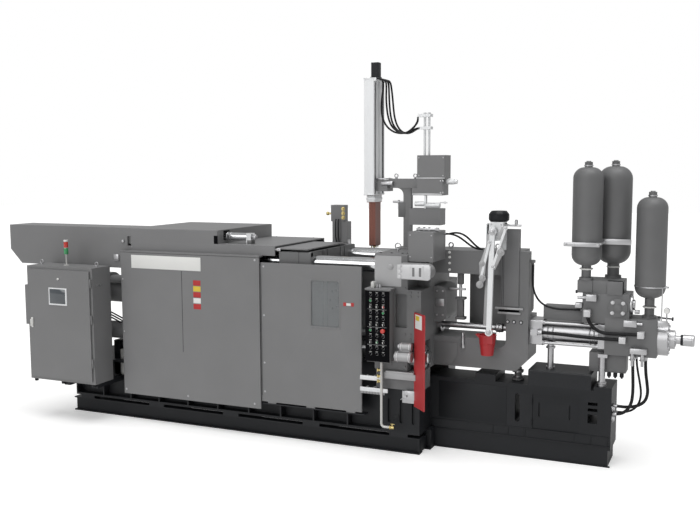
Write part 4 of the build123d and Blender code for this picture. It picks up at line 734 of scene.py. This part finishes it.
def frame_details():
    """Bolts, clamp bars, column rims and small fittings on the injection frame; black rings around three
    bolts are painted shadow, and a dark strip between the clamp bars is painted shade.
    """
    column_y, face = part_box("c_frame")[0][1], -0.245
    beam_roof = 2.490
    bolts = Piece("frame_flange_bolts")
    bolts.screws([(0.510, face, 2.405), (0.510, face, 2.331), (0.510, face, 2.250), (0.508, face, 2.465)],
                 front, 0.016)
    bolts.done(material=card_white)
    screw_xs = (1.242, 1.320, 1.405)
    # Painted shadow: black rings around the three bolts stand for the shadows beside their heads.
    bolt_shadows = Piece("frame_bolt_shadow_rings")
    for x in screw_xs:
        bolt_shadows.rod_y(face, face - 0.002, x, 1.650, 0.024)
    bolt_shadows.done("motor_black")
    bolts = Piece("frame_bolts")
    bolts.screws(grid(screw_xs, face - 0.002, 1.650), front, 0.013)
    bolts.done(material=bright_steel)
    bars = Piece("clamp_bars")
    bars.plate(1.090, 1.430, 1.800, 1.826, face, 0.026, 0.004)
    bars.plate(1.120, 1.400, 1.744, 1.768, face, 0.020, 0.004)
    bars.screws(grid((1.120, 1.400), face - 0.026, 1.813), front, 0.010)
    bars.done(material=pale_steel)
    # Painted shade: a near-black strip fills the shaded gap between the two clamp bars.
    gap_shade = Piece("clamp_gap_shade")
    gap_shade.plate(1.130, 1.380, 1.770, 1.798, face, 0.012, 0.002)
    gap_shade.done("casting_grey", black_and_painted_shade)
    rims = Piece("column_rims")
    for x in (1.172, 1.190):
        rims.plate(x - 0.002, x + 0.002, 1.842, 2.765, column_y, 0.0015, depth=0.003)
    rims.done("casting_grey", black_and_painted_shade, smooth=False)
    eyes = Piece("frame_eyebolts")
    for x in (0.45, 1.05):
        eyes.eyebolt((x, 0, beam_roof), 0.018, 0.020, 0.045, 0.028, 0.009)
    eyes.done()
    hub = Piece("hub_details")
    hub.plate(0.335, 0.440, 1.790, 1.880, face, 0.004, 0.002)
    hub.screws(grid((0.350, 0.425), face, (1.680, 1.980)), front, 0.012)
    hub.done()
    post = Piece("window_post")
    post.box(0.575, 0.655, -0.150, -0.080, 1.655, 1.870, 0.006)
    for z0, z1 in ((1.870, 1.900), (1.620, 1.655)):
        post.box(0.560, 0.680, -0.165, -0.065, z0, z1, 0.004)
    post.box(0.580, 0.650, -0.150, -0.090, 2.060, 2.207, 0.004)
    post.done("casting_grey")
    rods = Piece("window_post_rods")
    rods.rod_z(1.900, 2.060, 0.615, -0.120, 0.018)
    rods.box(0.470, 0.680, -0.135, -0.105, 1.985, 2.012, 0.004)
    rods.done()
    tip = Piece("coupling_band")
    for x, thickness in ((1.085, 0.005), (1.055, 0.003)):
        tip.ring((x, 0, shot_axis), right, 0.057, thickness)
    tip.done(body="plunger")
    foot = Piece("frame_foot_nuts")
    foot.rod_z(0.990, 1.020, 1.325, 0, 0.075, sides=6, bevel=0.003)
    foot.rod_z(0.925, 0.950, 1.325, 0, 0.068, sides=6, bevel=0.003)
    foot.done()
    skirt = Piece("frame_lower_cover")
    skirt.sheet(((0.33, 1.075), (0.55, 1.075), (0.62, 1.20), (0.62, 1.345), (0.33, 1.345)),
                face - 0.002, -0.006, 0.002)
    skirt.done("casting_grey")
    pad = Piece("frame_pad_cylinder")
    pad.rod_z(1.330, 1.480, 0.690, -0.262, 0.020, sides=20, bevel=0.003)
    pad.rod_z(1.290, 1.330, 0.690, -0.262, 0.026, sides=6)
    pad.done()


def ladle_details():
    """Pivots, side links and cup bands of the ladle, with its gearbox, motor and cable chain."""
    arm_y, link_y, boss_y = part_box("ladle_arm")[0][1], -0.562, -0.588
    pivots = Piece("ladle_pivots")
    for x, z, radius in ((1.120, 2.750, 0.038), (1.090, 1.560, 0.030)):
        pivots.rod_y(arm_y, arm_y + 0.014, x, z, radius, sides=28, bevel=0.003)
        pivots.bolts([(x, arm_y, z)], front, radius * 0.55)
    pivots.bolts([(1.092, arm_y, 2.630), (1.280, arm_y, 2.800), (1.135, arm_y, 2.345)], front, 0.014)
    pivots.done(body="ladle_arm")
    links = Piece("link_plates")
    for outline in (((1.070, 2.640), (1.108, 2.600), (1.050, 2.380), (1.040, 2.200), (1.010, 2.100),
                     (0.962, 2.105), (0.978, 2.250), (0.972, 2.370)),
                    ((1.232, 2.812), (1.276, 2.820), (1.212, 2.660), (1.180, 2.670)),
                    ((1.205, 2.540), (1.255, 2.500), (1.160, 2.305), (1.125, 2.345))):
        links.sheet(outline, link_y, -0.010, 0.002)
    for x, z, radius in ((1.005, 2.375, 0.034), (1.015, 2.204, 0.040), (0.983, 2.127, 0.044),
                         (1.230, 2.514, 0.044)):
        links.rod_y(link_y + 0.002, boss_y, x, z, radius, sides=32, bevel=0.004)
        links.bolts([(x, boss_y, z)], front, radius * 0.45)
    links.done(material=pale_steel, body="ladle_arm")
    bar = Piece("arm_back_bar")
    bar.sheet(((1.050, 2.720), (1.095, 2.720), (1.060, 1.630), (1.012, 1.630)), -0.497, -0.020, 0.003)
    bar.done(material=pale_steel, body="ladle_arm")
    gear = Piece("gearbox_bolts")
    gear.screws(grid((1.085, 1.205), -0.480, (2.665, 2.740, 2.835)), front, 0.010)
    gear.ring((1.120, -0.481, 2.750), front, 0.046, 0.006)
    gear.done()
    shell = Piece("motor_shell")
    x, y, radius = 1.155, -0.385, 0.122
    shell.rod_z(2.884, 2.950, x, y, radius, sides=10, bevel=0.006)
    shell.rod_z(2.950, 2.990, x, y, radius, far_radius=0.090, sides=10, bevel=0.006)
    shell.rod_z(2.862, 2.884, x, y, 0.100, far_radius=radius, sides=10, bevel=0.004)
    shell.done("motor_black")
    chain = Piece("ladle_cable_chain")
    for i in range(12):
        z = 2.520 + i * 0.026
        chain.box(1.036, 1.062, -0.470, -0.330, z, z + 0.022, 0.004)
    chain.done("motor_black")
    strip = Piece("cable_chain_strip")
    strip.box(1.022, 1.037, -0.480, -0.320, 2.515, 2.840)
    strip.done("aluminium")
    rod = Piece("ladle_rod")
    y, z = -0.378, 2.822
    rod.rod_x(1.245, 1.420, y, z, 0.014, sides=20)
    rod.rod_z(2.815, 2.880, 1.360, y, 0.020, sides=20, bevel=0.003)
    rod.bolts([(1.360, y, 2.880)], up, 0.014)
    rod.rod_x(1.230, 1.252, y, z, 0.026, sides=6)
    rod.done()
    bands = Piece("cup_bands")
    bands.ring((1.030, -0.380, 1.495), up, 0.106, 0.005)
    bands.ring((1.030, -0.380, 1.390), up, 0.093, 0.004)
    bands.done("signal_red", body="ladle_cup")


def shot_details():
    """Nuts and bands of the shot cylinder, and the cover on its tube."""
    nuts = Piece("head_nuts")
    for x, direction in ((1.640, right), (2.290, left)):
        nuts.bolts(grid(x, (-0.122, 0.122), (1.403, 1.647)), direction, 0.028, 0.026)
    nuts.done()
    bands = Piece("tube_bands")
    for x in (1.700, 1.760, 2.190, 2.240):
        bands.ring((x, 0, shot_axis), right, 0.123, 0.008, sides=40)
    bands.done()
    cover = Piece("tube_cover")
    cover.sheet(((1.700, 1.690), (1.640, 1.660), (1.640, 1.640), (2.095, 1.640), (2.095, 1.690)),
                -0.105, 0.210, 0.003)
    cover.done("casting_grey")


def valve_block_details():
    """The valve block's body with its flanges, small valves, knobs and gauge."""
    face, low_z = -0.200, valve_low[2]
    block = Piece("valve_body")
    block.box(2.050, 2.560, face + 0.004, -face, 2.040, 2.190, 0.005)
    block.box(2.110, 2.640, face + 0.002, -face - 0.002, 1.690, 2.042, 0.005)
    block.box(2.370, valve_high[0], face, -face - 0.004, 1.330, 1.760, 0.005)
    block.box(2.050, 2.222, face - 0.012, face + 0.100, 2.046, 2.190, 0.006)
    block.box(2.384, 2.560, face - 0.012, face + 0.100, 2.034, 2.190, 0.006)
    block.box(2.190, 2.610, -0.118, 0.118, low_z, 1.335, 0.005)
    block.box(valve_low[0], 2.115, -0.100, 0.100, 1.690, 1.850, 0.005)
    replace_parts(block.done("casting_grey"), "valve_block")
    flange = Piece("round_flange")
    flange.rod_y(face, face - 0.020, 2.512, 1.886, 0.108, sides=48, bevel=0.004)
    flange.rod_y(face - 0.018, face - 0.030, 2.512, 1.886, 0.046, sides=36, bevel=0.004)
    flange.done("casting_grey")
    bolts = Piece("flange_bolts")
    bolts.bolts([(x, face - 0.020, z) for x, z in ((2.455, 1.947), (2.572, 1.944), (2.452, 1.826),
                                                   (2.570, 1.829))], front, 0.018, 0.016)
    bolts.done(material=bright_steel)
    plates = Piece("hose_flanges")
    plate_y, reach = -0.2905, 0.022
    for x, low, high in ((2.177, 1.772, 1.852), (2.578, 1.487, 1.561), (2.778, 1.559, 1.633)):
        middle = (low + high) / 2
        plates.box(x - 0.037, x + 0.037, plate_y, face, low, high)
        plates.screws(grid((x - reach, x + reach), plate_y, (middle - reach, middle + reach)), front,
                      0.0035)
    plates.done(material=bright_steel)
    valves = Piece("small_valves")
    valves.plate(2.160, 2.280, 1.955, 2.035, face, 0.075, 0.006)
    valves.rod_x(2.060, 2.160, -0.235, 1.990, 0.018, bevel=0.003)
    valves.rod_x(2.639, 2.668, -0.080, 1.915, 0.108, sides=40, bevel=0.005)
    valves.rod_x(2.667, 2.690, -0.080, 1.915, 0.060, sides=32, bevel=0.005)
    valves.rod_x(2.689, 2.745, -0.120, 1.842, 0.024, sides=6, bevel=0.003)
    valves.box(2.030, 2.110, -0.230, -0.150, 1.865, 1.925, 0.005)
    valves.plate(2.585, 2.730, 1.680, 1.755, face, 0.060, 0.006)
    valves.rod_x(2.730, 2.790, -0.230, 1.717, 0.016)
    valves.plate(2.665, 2.850, 1.375, 1.440, face, 0.080, 0.006)
    for x in (2.690, 2.800):
        valves.rod_z(1.375, 1.290, x, -0.240, 0.022, bevel=0.003)
        valves.rod_z(1.290, 1.230, x, -0.240, 0.015, sides=20)
    valves.bolts(grid((2.690, 2.800), -0.240, 1.300), up, 0.028, 0.018)
    valves.done()
    knobs = Piece("lower_knobs")
    knobs.rod_x(2.045, 2.120, -0.180, 2.050, 0.009, sides=16)
    knobs.rod_x(2.028, 2.050, -0.180, 2.050, 0.020, sides=20, bevel=0.004)
    for x in (2.424, 2.494, 2.567):
        knobs.rod_z(low_z, low_z - 0.045, x, -0.120, 0.024, bevel=0.005)
        knobs.rod_z(low_z - 0.045, low_z - 0.060, x, -0.120, 0.012)
    knobs.done("motor_black")
    gauge_x, gauge_z, line_y = 3.045, 1.885, -0.190
    gauge = Piece("gauge_body")
    gauge.rod_y(-0.175, -0.210, gauge_x, gauge_z, 0.034, sides=32, bevel=0.004)
    gauge.rod_z(1.760, 2.140, 2.990, line_y, 0.006, sides=12)
    gauge.rod_x(2.950, 2.990, line_y, 1.760, 0.006, sides=12)
    gauge.rod_z(1.760, 1.852, gauge_x, line_y, 0.008)
    gauge.box(2.950, 3.060, -0.200, -0.160, 1.700, 1.760, 0.005)
    gauge.done()
    dial = Piece("gauge_dial")
    dial.rod_y(-0.2100, -0.2112, gauge_x, gauge_z, 0.029, sides=32)
    dial.done("pipe_white", card_white)
    handle = Piece("valve_handle")
    handle.rod((2.950, -0.180, 1.800), (3.105, -0.180, 1.792), 0.009, sides=16)
    handle.rod((3.100, -0.180, 1.792), (3.118, -0.180, 1.791), 0.022, sides=20, bevel=0.004)
    handle.done("motor_black")


def end_cap_details():
    """Lock and screws of the end cap, nuts of the supports, and unions at the ends of the hoses."""
    lock = Piece("end_cap_lock")
    lock.rod_x(3.190, 3.238, 0, shot_axis, 0.064, sides=12, bevel=0.004)
    lock.done("motor_black")
    cap = Piece("end_cap_bolts")
    for x, count, circle, radius in ((3.060, 12, 0.160, 0.014), (3.130, 6, 0.078, 0.010)):
        angles = [2 * pi * i / count for i in range(count)]
        cap.screws([(x, circle * cos(a), shot_axis + circle * sin(a)) for a in angles], right, radius)
    cap.ring((3.310, 0, shot_axis), right, 0.066, 0.003, sides=36)
    cap.rod_x(3.220, 3.236, 0, shot_axis, 0.068, sides=6, bevel=0.003)
    cap.done()
    jack = Piece("jack_nuts")
    jack.rod_z(0.968, 0.998, 2.347, -0.158, 0.058, sides=6, bevel=0.003)
    jack.rod_z(1.330, 1.355, 1.728, -0.052, 0.060, sides=6, bevel=0.003)
    jack.done()
    unions = Piece("hose_unions")
    for at, way, radius in (((1.600, -0.215, 1.540), right, 0.030), ((2.690, -0.160, 1.330), down, 0.028),
                            ((2.825, -0.100, 1.330), down, 0.028), ((2.720, -0.050, 1.330), down, 0.020),
                            ((2.476, -0.165, 0.628), right, 0.028), ((2.476, -0.116, 0.712), right, 0.028),
                            ((2.476, -0.060, 0.628), right, 0.020)):
        at, way = Vector(at), Vector(way)
        unions.rod(at, at + way * 0.022, radius, sides=6, bevel=0.002)
        unions.rod(at + way * 0.020, at + way * 0.050, radius * 0.82)
    unions.done()


def bottle_details():
    """Neck rings, crown valves and clamps of the bottles."""
    rings = Piece("neck_rings")
    crowns = Piece("crown_valves")
    for x, y, top, foot in ((2.139, -0.150, 3.557, 2.190), (2.398, 0.200, 3.567, 2.190),
                            (2.840, 0.000, 3.215, 1.760)):
        rings.ring((x, y, foot + 0.130), up, 0.070, 0.009)
        crowns.rod_z(top, top + 0.012, x, y, 0.030, sides=6, bevel=0.002)
        crowns.rod_z(top - 0.050, top - 0.035, x, y, 0.052)
    rings.done("pipe_white", card_white)
    crowns.done()
    clamps = Piece("bottle_clamps")
    clamps.box(1.905, 2.310, -0.350, -0.322, 2.590, 2.640, 0.004)
    clamps.box(2.150, 2.620, -0.034, -0.004, 2.600, 2.665, 0.004)
    clamps.box(2.260, 2.330, -0.340, 0.000, 2.615, 2.640, 0.004)
    clamps.bolts(grid((1.930, 2.020, 2.290), -0.350, 2.615), front, 0.012)
    clamps.done()
    band = Piece("end_bottle_band")
    band.ring((2.840, 0, 2.130), up, 0.173, 0.008, sides=48, around=6)
    band.box(3.000, 3.050, -0.060, -0.030, 2.120, 2.140)
    band.done()


def spray_head_details():
    """Nozzles, ribs and plates of the spray head, and the mast's flange, rails and ends."""
    (left_x, _, low), (right_x, _, top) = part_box("spray_manifold")
    head = Piece("spray_nozzles")
    for x, y in product((-0.605, -0.565), (-0.060, 0, 0.060)):
        head.rod_z(low, low - 0.028, x, y, 0.010, far_radius=0.006, sides=16)
    head.done(material=brass, body="spray_mast")
    ribs = Piece("manifold_ribs")
    for x in (-0.610, -0.585, -0.560):
        ribs.box(x - 0.005, x + 0.005, -0.0955, -0.0915, low + 0.010, top - 0.100, 0.001)
    for y in (-0.062, -0.022, 0.022, 0.062):
        ribs.box(-0.6185, -0.6145, y - 0.008, y + 0.008, low + 0.010, top - 0.100, 0.001)
    ribs.done("manifold_brown", body="spray_mast")
    flange = Piece("mast_flange")
    flange.box(left_x - 0.002, right_x + 0.002, -0.122, 0.122, top - 0.090, top, 0.008)
    flange.box(left_x - 0.008, right_x + 0.006, -0.128, 0.128, top - 0.060, top - 0.034)
    flange.screws(grid(left_x - 0.002, (-0.090, -0.030, 0.030, 0.090), top - 0.018), left, 0.008)
    flange.screws(grid((-0.630, -0.585, -0.540), -0.122, top - 0.018), front, 0.008)
    flange.done("aluminium", body="spray_mast")
    plates = Piece("manifold_plates")
    for y in (-0.050, 0.050):
        plates.box(-0.556, -0.549, y - 0.030, y + 0.030, low + 0.050, top - 0.120)
    plates.done("manifold_brown", body="spray_mast")
    rails = Piece("mast_rails")
    for y in (-0.160, 0.160):
        rails.box(-0.527, -0.519, y - 0.010, y + 0.010, mast_low[2] + 0.020, mast_high[2] - 0.060, 0.002)
    rails.done(body="spray_mast")
    grooves = Piece("mast_slots")
    for y in (-0.134, 0.134):
        grooves.box(-0.529, -0.525, y - 0.015, y + 0.015, mast_low[2] + 0.020, mast_high[2] - 0.060, 0)
    grooves.done("motor_black", body="spray_mast", smooth=False)
    ends = Piece("mast_ends")
    outer = mast_low[0] - 0.006
    for z in (mast_high[2] - 0.018, mast_low[2]):
        ends.box(outer, -0.519, -0.181, 0.181, z, z + 0.018, 0.004)
    ends.screws(grid(outer, (-0.140, -0.045, 0.045, 0.140), mast_high[2] - 0.009), left, 0.006)
    ends.done("aluminium", body="spray_mast")
    plugs = Piece("mast_plugs")
    for route in spray_routes:
        x, y, z = route[0]
        plugs.rod_x(x, x + 0.025, y, z, 0.0115, sides=6)
    plugs.done(body="spray_mast")
    unions = Piece("post_unions")
    for route, way in zip(spray_routes, (down, left, down, left)):
        at = Vector(route[-1])
        unions.rod(at, at + Vector(way) * 0.028, 0.0125, sides=6)
    for x in (0.096, 0.151):
        unions.rod_z(4.170, 4.182, x, 0, 0.019, sides=20, bevel=0.003)
    unions.done()


def spray_arm_details():
    """Rods, eyebolts, boxes and fittings of the spray arm, and the plugs of the small hoses."""
    arm_roof, box_y = 3.358, -0.120
    rods = Piece("arm_rods")
    for y in (-0.085, 0.085):
        rods.rod_x(-0.455, -0.300, y, 3.300, 0.032, sides=32, bevel=0.004)
    rods.box(-0.530, -0.380, -0.110, 0.110, 3.350, 3.365)
    rods.bolts(grid((-0.500, -0.410), (-0.085, 0.085), 3.362), up, 0.011)
    rods.done()
    eyes = Piece("arm_eyebolts")
    for x in (-0.286, -0.030):
        eyes.eyebolt((x, 0, arm_roof), 0.016, 0.020, 0.040, 0.022, 0.007)
    eyes.done()
    strips = Piece("box_strips")
    strips.plate(-0.030, 0.360, 3.158, 3.176, box_y, 0.003, 0.001, 0.001)
    strips.plate(0.040, 0.396, 3.362, 3.374, box_y, 0.003, 0.001, 0.001)
    strips.screws(grid((0.060, 0.376), box_y, (3.400, 3.620)), front, 0.007)
    strips.screws(grid((0.345, 0.375), box_y, (3.190, 3.335)), front, 0.009)
    strips.done()
    silver = Piece("box_cylinders")
    silver.rod_x(0.396, 0.492, -0.020, 3.322, 0.034, sides=32, bevel=0.006)
    silver.rod_x(0.490, 0.528, -0.020, 3.322, 0.027, sides=32, bevel=0.005)
    silver.rod_x(0.000, 0.125, -0.090, 3.045, 0.030, sides=32, bevel=0.004)
    silver.rod_x(0.155, 0.330, -0.090, 3.030, 0.032, sides=32, bevel=0.006)
    silver.rod_x(0.330, 0.425, -0.090, 3.066, 0.007, sides=16)
    silver.rod_x(0.385, 0.400, -0.090, 3.066, 0.014, sides=6)
    silver.box(0.130, 0.152, -0.115, -0.060, 2.988, 3.154)
    silver.done("aluminium")
    small = Piece("arm_box")
    small.box(-0.246, -0.150, -0.045, 0.045, 2.871, 3.060, 0.006)
    small.box(-0.150, -0.118, -0.030, 0.030, 2.900, 3.040, 0.002)
    small.done("casting_grey")
    pin = Piece("arm_pin")
    pin.rod_x(-0.330, -0.118, 0, 3.064, 0.013)
    pin.rod_x(-0.262, -0.240, 0, 3.064, 0.024, sides=6)
    pin.done()
    (_, box_front, _), (_, _, box_top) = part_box("platen_box")
    fitting_xs, fitting_y, pipe_z = (0.220, 0.285, 0.350), -0.560, box_top + 0.022
    fittings = Piece("platen_box_fittings")
    for x in fitting_xs:
        fittings.rod_z(box_top, box_top + 0.050, x, fitting_y, 0.014)
    fittings.bolts(grid(fitting_xs, fitting_y, box_top + 0.012), up, 0.018, 0.014)
    fittings.rod_x(0.190, 0.440, fitting_y, pipe_z, 0.017, bevel=0.003)
    fittings.rod_x(0.430, 0.470, fitting_y, pipe_z, 0.024, sides=6)
    fittings.screws(grid((0.165, 0.430), box_front, (2.44, 2.70)), front, 0.008)
    fittings.done()
    plugs = Piece("ladle_hose_plugs")
    for y in (-0.300, -0.262):
        plugs.rod_x(0.455, 0.480, y, 2.692, 0.0135, sides=6)
    for y in (-0.220, -0.185):
        plugs.rod_x(0.950, 0.925, y, 2.508, 0.0125, sides=6)
    plugs.rod_x(2.110, 2.085, -0.150, 1.830, 0.0125, sides=6)
    plugs.rod_z(2.365, 2.340, 1.515, -0.150, 0.0125, sides=6)
    plugs.done()


def cabinet_details():
    """Screen glass, knob, handle, feet and tower lamps of the cabinet, and what stands behind it."""
    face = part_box("cabinet_door")[0][1]
    (x0, y0, z0), (x1, _, z1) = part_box("cabinet_screen")
    glass = Piece("screen_glass")
    glass.plate(x0 + 0.022, x1 - 0.022, z0 + 0.022, z1 - 0.016, y0, 0.002, 0.001, 0.002)
    glass.done("panel_black", screen_glass, "cabinet_door")
    knob = Piece("cabinet_knob")
    knob.rod_y(face, face - 0.020, -4.764, 2.000, 0.013, sides=28, bevel=0.003)
    knob.done("pipe_white", card_white, "cabinet_door")
    handle = Piece("cabinet_handle")
    handle.plate(-5.268, -5.238, 1.300, 1.440, face, 0.010, 0.003)
    handle.tube([(-5.252, face - 0.008, 1.425), (-5.252, face - 0.035, 1.415),
                 (-5.252, face - 0.035, 1.325), (-5.252, face - 0.008, 1.315)], 0.007)
    handle.done("pipe_white", card_white, "cabinet_door")
    (_, _, foot), (side, _, roof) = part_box("control_cabinet")
    screws = Piece("cabinet_screws")
    screws.screws(grid(side, (-1.120, -1.040), 1.925), right, 0.011)
    screws.done()
    feet = Piece("cabinet_feet")
    for x, y in product((-5.280, -4.800, -4.270), (-1.160, -0.860)):
        feet.rod_z(foot, foot - 0.040, x, y, 0.026, bevel=0.003)
    feet.done("base_black")
    eyes = Piece("cabinet_eyebolt")
    for x in (-5.250, -4.290):
        eyes.eyebolt((x, -1.000, roof), 0.016, 0.016, 0.040, 0.024, 0.007)
    eyes.done()
    lamp_low, lamp_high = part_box("tower_light")
    x, y = (lamp_low[0] + lamp_high[0]) / 2, (lamp_low[1] + lamp_high[1]) / 2
    for name, z, height, radius, material in (("lamp_green", 2.320, 0.085, 0.0305, lamp_green),
                                              ("lamp_red", 2.412, 0.078, 0.0305, lamp_red),
                                              ("lamp_cap", 2.496, 0.0235, 0.0300, card_white)):
        lamp = Piece(name)
        lamp.rod_z(z, z + height, x, y, radius, sides=32, bevel=0.003)
        lamp.done("lamp", material)
    rear = Piece("rear_cylinders")
    rear.rod_x(-4.480, -3.930, -0.520, 1.757, 0.140, sides=48, bevel=0.008)
    rear.rod_x(-4.480, -3.930, -0.520, 1.212, 0.122, sides=48, bevel=0.008)
    rear.done("casting_grey")
    lines = Piece("rear_lines")
    for z in (1.490, 1.452, 1.414):
        lines.tube([(-4.500, -0.560, z), (-4.380, -0.560, z - 0.040), (-4.200, -0.560, z - 0.110),
                    (-3.930, -0.560, z - 0.190)], 0.011)
    lines.box(-4.390, -4.285, -0.560, -0.420, 0.560, 1.065, 0.006)
    lines.done("motor_black")
    plate = Piece("rear_plate")
    plate.box(-4.275, -4.120, -0.575, -0.560, 0.575, 0.940)
    plate.box(-4.275, -4.260, -0.575, -0.420, 0.575, 0.940)
    plate.done("pipe_white")


def cover_details():
    """Fittings on the duct, the chrome cylinder's ends and stand, and the sliding plate's bush."""
    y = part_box("rear_duct")[0][1]
    fittings = Piece("duct_fittings")
    fittings.rod_y(y, y - 0.020, -4.029, 2.507, 0.020, bevel=0.003)
    fittings.plate(-4.189, -4.107, 2.226, 2.321, y, 0.020, 0.005)
    fittings.done()
    (_, y0, z0), (end_x, y1, _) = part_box("cover_cylinder")
    axis_y, axis_z = -0.510, deck_high[2] + 0.090
    rod = Piece("cover_rod_ends")
    for x in (-2.480, -2.430):
        rod.ring((x, axis_y, axis_z), right, 0.051, 0.006)
    rod.rod_x(end_x, end_x + 0.055, axis_y, axis_z, 0.030, sides=32, bevel=0.004)
    for i in range(16):
        angle = 2 * pi * i / 16
        rod.rod_x(end_x, end_x + 0.050, axis_y + 0.030 * cos(angle), axis_z + 0.030 * sin(angle), 0.003,
                  sides=8)
    rod.done()
    stand = Piece("cylinder_stand")
    stand.box(end_x - 0.058, end_x + 0.004, y0 - 0.004, y1 + 0.004, z0, axis_z - 0.040)
    stand.done("panel_grey")
    (_, lift_y, lift_z), (lift_x, _, _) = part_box("lift_cover")
    # Painted shade: a near-black patch at the lift cover's lower right corner stands for the shade inside a
    # notch.
    notch_shade = Piece("cover_notch_shade")
    notch_shade.plate(lift_x - 0.055, lift_x + 0.001, lift_z + 0.002, lift_z + 0.110, lift_y, 0.0012, depth=0.004)
    notch_shade.done("panel_grey", black_and_painted_shade, smooth=False)
    screws = Piece("deck_screws")
    screws.bolts(grid((-2.40, -2.10, -1.80), (-0.68, 0.68), deck_high[2]), up, 0.010)
    screws.done()
    bush = Piece("sliding_bush")
    bush.rod_x(-1.266, -1.170, -0.660, 2.405, 0.034, sides=28, bevel=0.004)
    bush.plate(-1.660, -1.590, 2.446, 2.482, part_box("sliding_plate")[0][1], 0.006, 0.002)
    bush.rod_x(-1.840, -1.610, -0.722, 2.464, 0.008, sides=12)
    bush.rod_x(-1.900, -1.840, -0.722, 2.464, 0.016, sides=6)
    bush.done(body="moving_platen")
    seam = Piece("moving_platen_seam")
    seam.box(-1.340, -1.336, -0.7012, -0.696, 2.300, 2.444, 0)
    seam.done("casting_grey", black_and_painted_shade, "moving_platen", smooth=False)


def valve_post_details():
    """Brass valves, pipes and foot of the box on the moving platen."""
    low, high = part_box("valve_post")
    valve_x, y = high[0] - 0.050, low[1]
    valve_levels = (2.820, 2.880, 2.940)
    valves = Piece("post_valves")
    for z in valve_levels:
        valves.rod_y(y, y - 0.040, valve_x, z, 0.016, sides=20)
    valves.bolts(grid(valve_x, y - 0.012, valve_levels), front, 0.022, 0.014)
    valves.rod_x(low[0], low[0] - 0.070, y + 0.060, 2.870, 0.014)
    valves.rod_x(low[0] - 0.060, low[0] - 0.090, y + 0.060, 2.870, 0.026, bevel=0.004)
    valves.done(material=brass, body="moving_platen")
    pipes = Piece("post_pipes")
    for x in (-1.330, -1.290):
        pipes.tube([(x, y - 0.030, 2.800), (x, y - 0.045, 2.760), (x, y - 0.045, 2.560),
                    (x, y - 0.020, 2.490), (x, y - 0.020, 2.446)], 0.009)
    pipes.done("motor_black", body="moving_platen")
    foot = Piece("post_foot")
    foot.box(-1.176, -1.170, y + 0.010, y + 0.100, 2.446, 2.520, 0.002)
    foot.box(low[0] + 0.010, high[0] + 0.010, y - 0.012, y, 2.446, 2.462)
    foot.done(body="moving_platen")


for dress in (button_panel, guard_details, base_details, platen_details, platen_unit_details,
              platen_fitting_details, red_guard_details, frame_details, ladle_details, shot_details,
              valve_block_details, end_cap_details, bottle_details, spray_head_details,
              spray_arm_details, cabinet_details, cover_details, valve_post_details):
    dress()


# Floor, backdrop light and lamps
floor_mesh = bmesh.new()
bmesh.ops.create_grid(floor_mesh, x_segments=1, y_segments=1, size=60)
floor_data = bpy.data.meshes.new("floor")
floor_mesh.to_mesh(floor_data)
floor_mesh.free()
floor_pale = finish_material("floor_pale", (0.86, 0.86, 0.855), 0.6, mottle=0.01, grain=30, bump=0.02)
floor_tree = floor_pale.node_tree
floor_shader = floor_tree.nodes["Principled BSDF"]
floor_shader.inputs["Emission Color"].default_value = (1, 1, 1, 1)
seen_floor = new_node(floor_tree, "ShaderNodeLightPath")
lift = new_node(floor_tree, "ShaderNodeMath", {1: 0.34}, "MULTIPLY")
floor_tree.links.new(seen_floor.outputs["Is Camera Ray"], lift.inputs[0])
floor_tree.links.new(lift.outputs[0], floor_shader.inputs["Emission Strength"])
floor_data.materials.append(floor_pale)
floor = bpy.data.objects.new("floor", floor_data)
bpy.context.collection.objects.link(floor)

world = bpy.data.worlds.new("studio")
scene.world = world
world.use_nodes = True
sky = world.node_tree
dim = sky.nodes["Background"]
dim.inputs["Strength"].default_value = 0.23
bright = new_node(sky, "ShaderNodeBackground", {"Strength": 1.0})
for shade in (dim, bright):
    shade.inputs["Color"].default_value = (1, 1, 1, 1)
ray = new_node(sky, "ShaderNodeLightPath")
mirrored = new_node(sky, "ShaderNodeMath", {1: 0.3}, "MULTIPLY")
seen = new_node(sky, "ShaderNodeMath", operation="MAXIMUM")
choose = new_node(sky, "ShaderNodeMixShader")
for start, end in ((ray.outputs["Is Glossy Ray"], mirrored.inputs[0]),
                   (ray.outputs["Is Camera Ray"], seen.inputs[0]), (mirrored.outputs[0], seen.inputs[1]),
                   (seen.outputs[0], choose.inputs["Fac"]), (dim.outputs[0], choose.inputs[1]),
                   (bright.outputs[0], choose.inputs[2]),
                   (choose.outputs[0], sky.nodes["World Output"].inputs["Surface"])):
    sky.links.new(start, end)


def soft_light(name, direction, strength, spread):
    """Wide, even light from one direction."""
    data = bpy.data.lights.new(name, "SUN")
    data.energy = strength
    data.angle = radians(spread)
    lamp = bpy.data.objects.new(name, data)
    lamp.location = Vector(direction) * 10
    lamp.rotation_euler = Vector(direction).to_track_quat("Z", "Y").to_euler()
    bpy.context.collection.objects.link(lamp)


soft_light("overhead", (0.10, -0.12, 1.0), 2.2, 50)
soft_light("front", (-0.35, -1.0, 0.45), 0.80, 40)
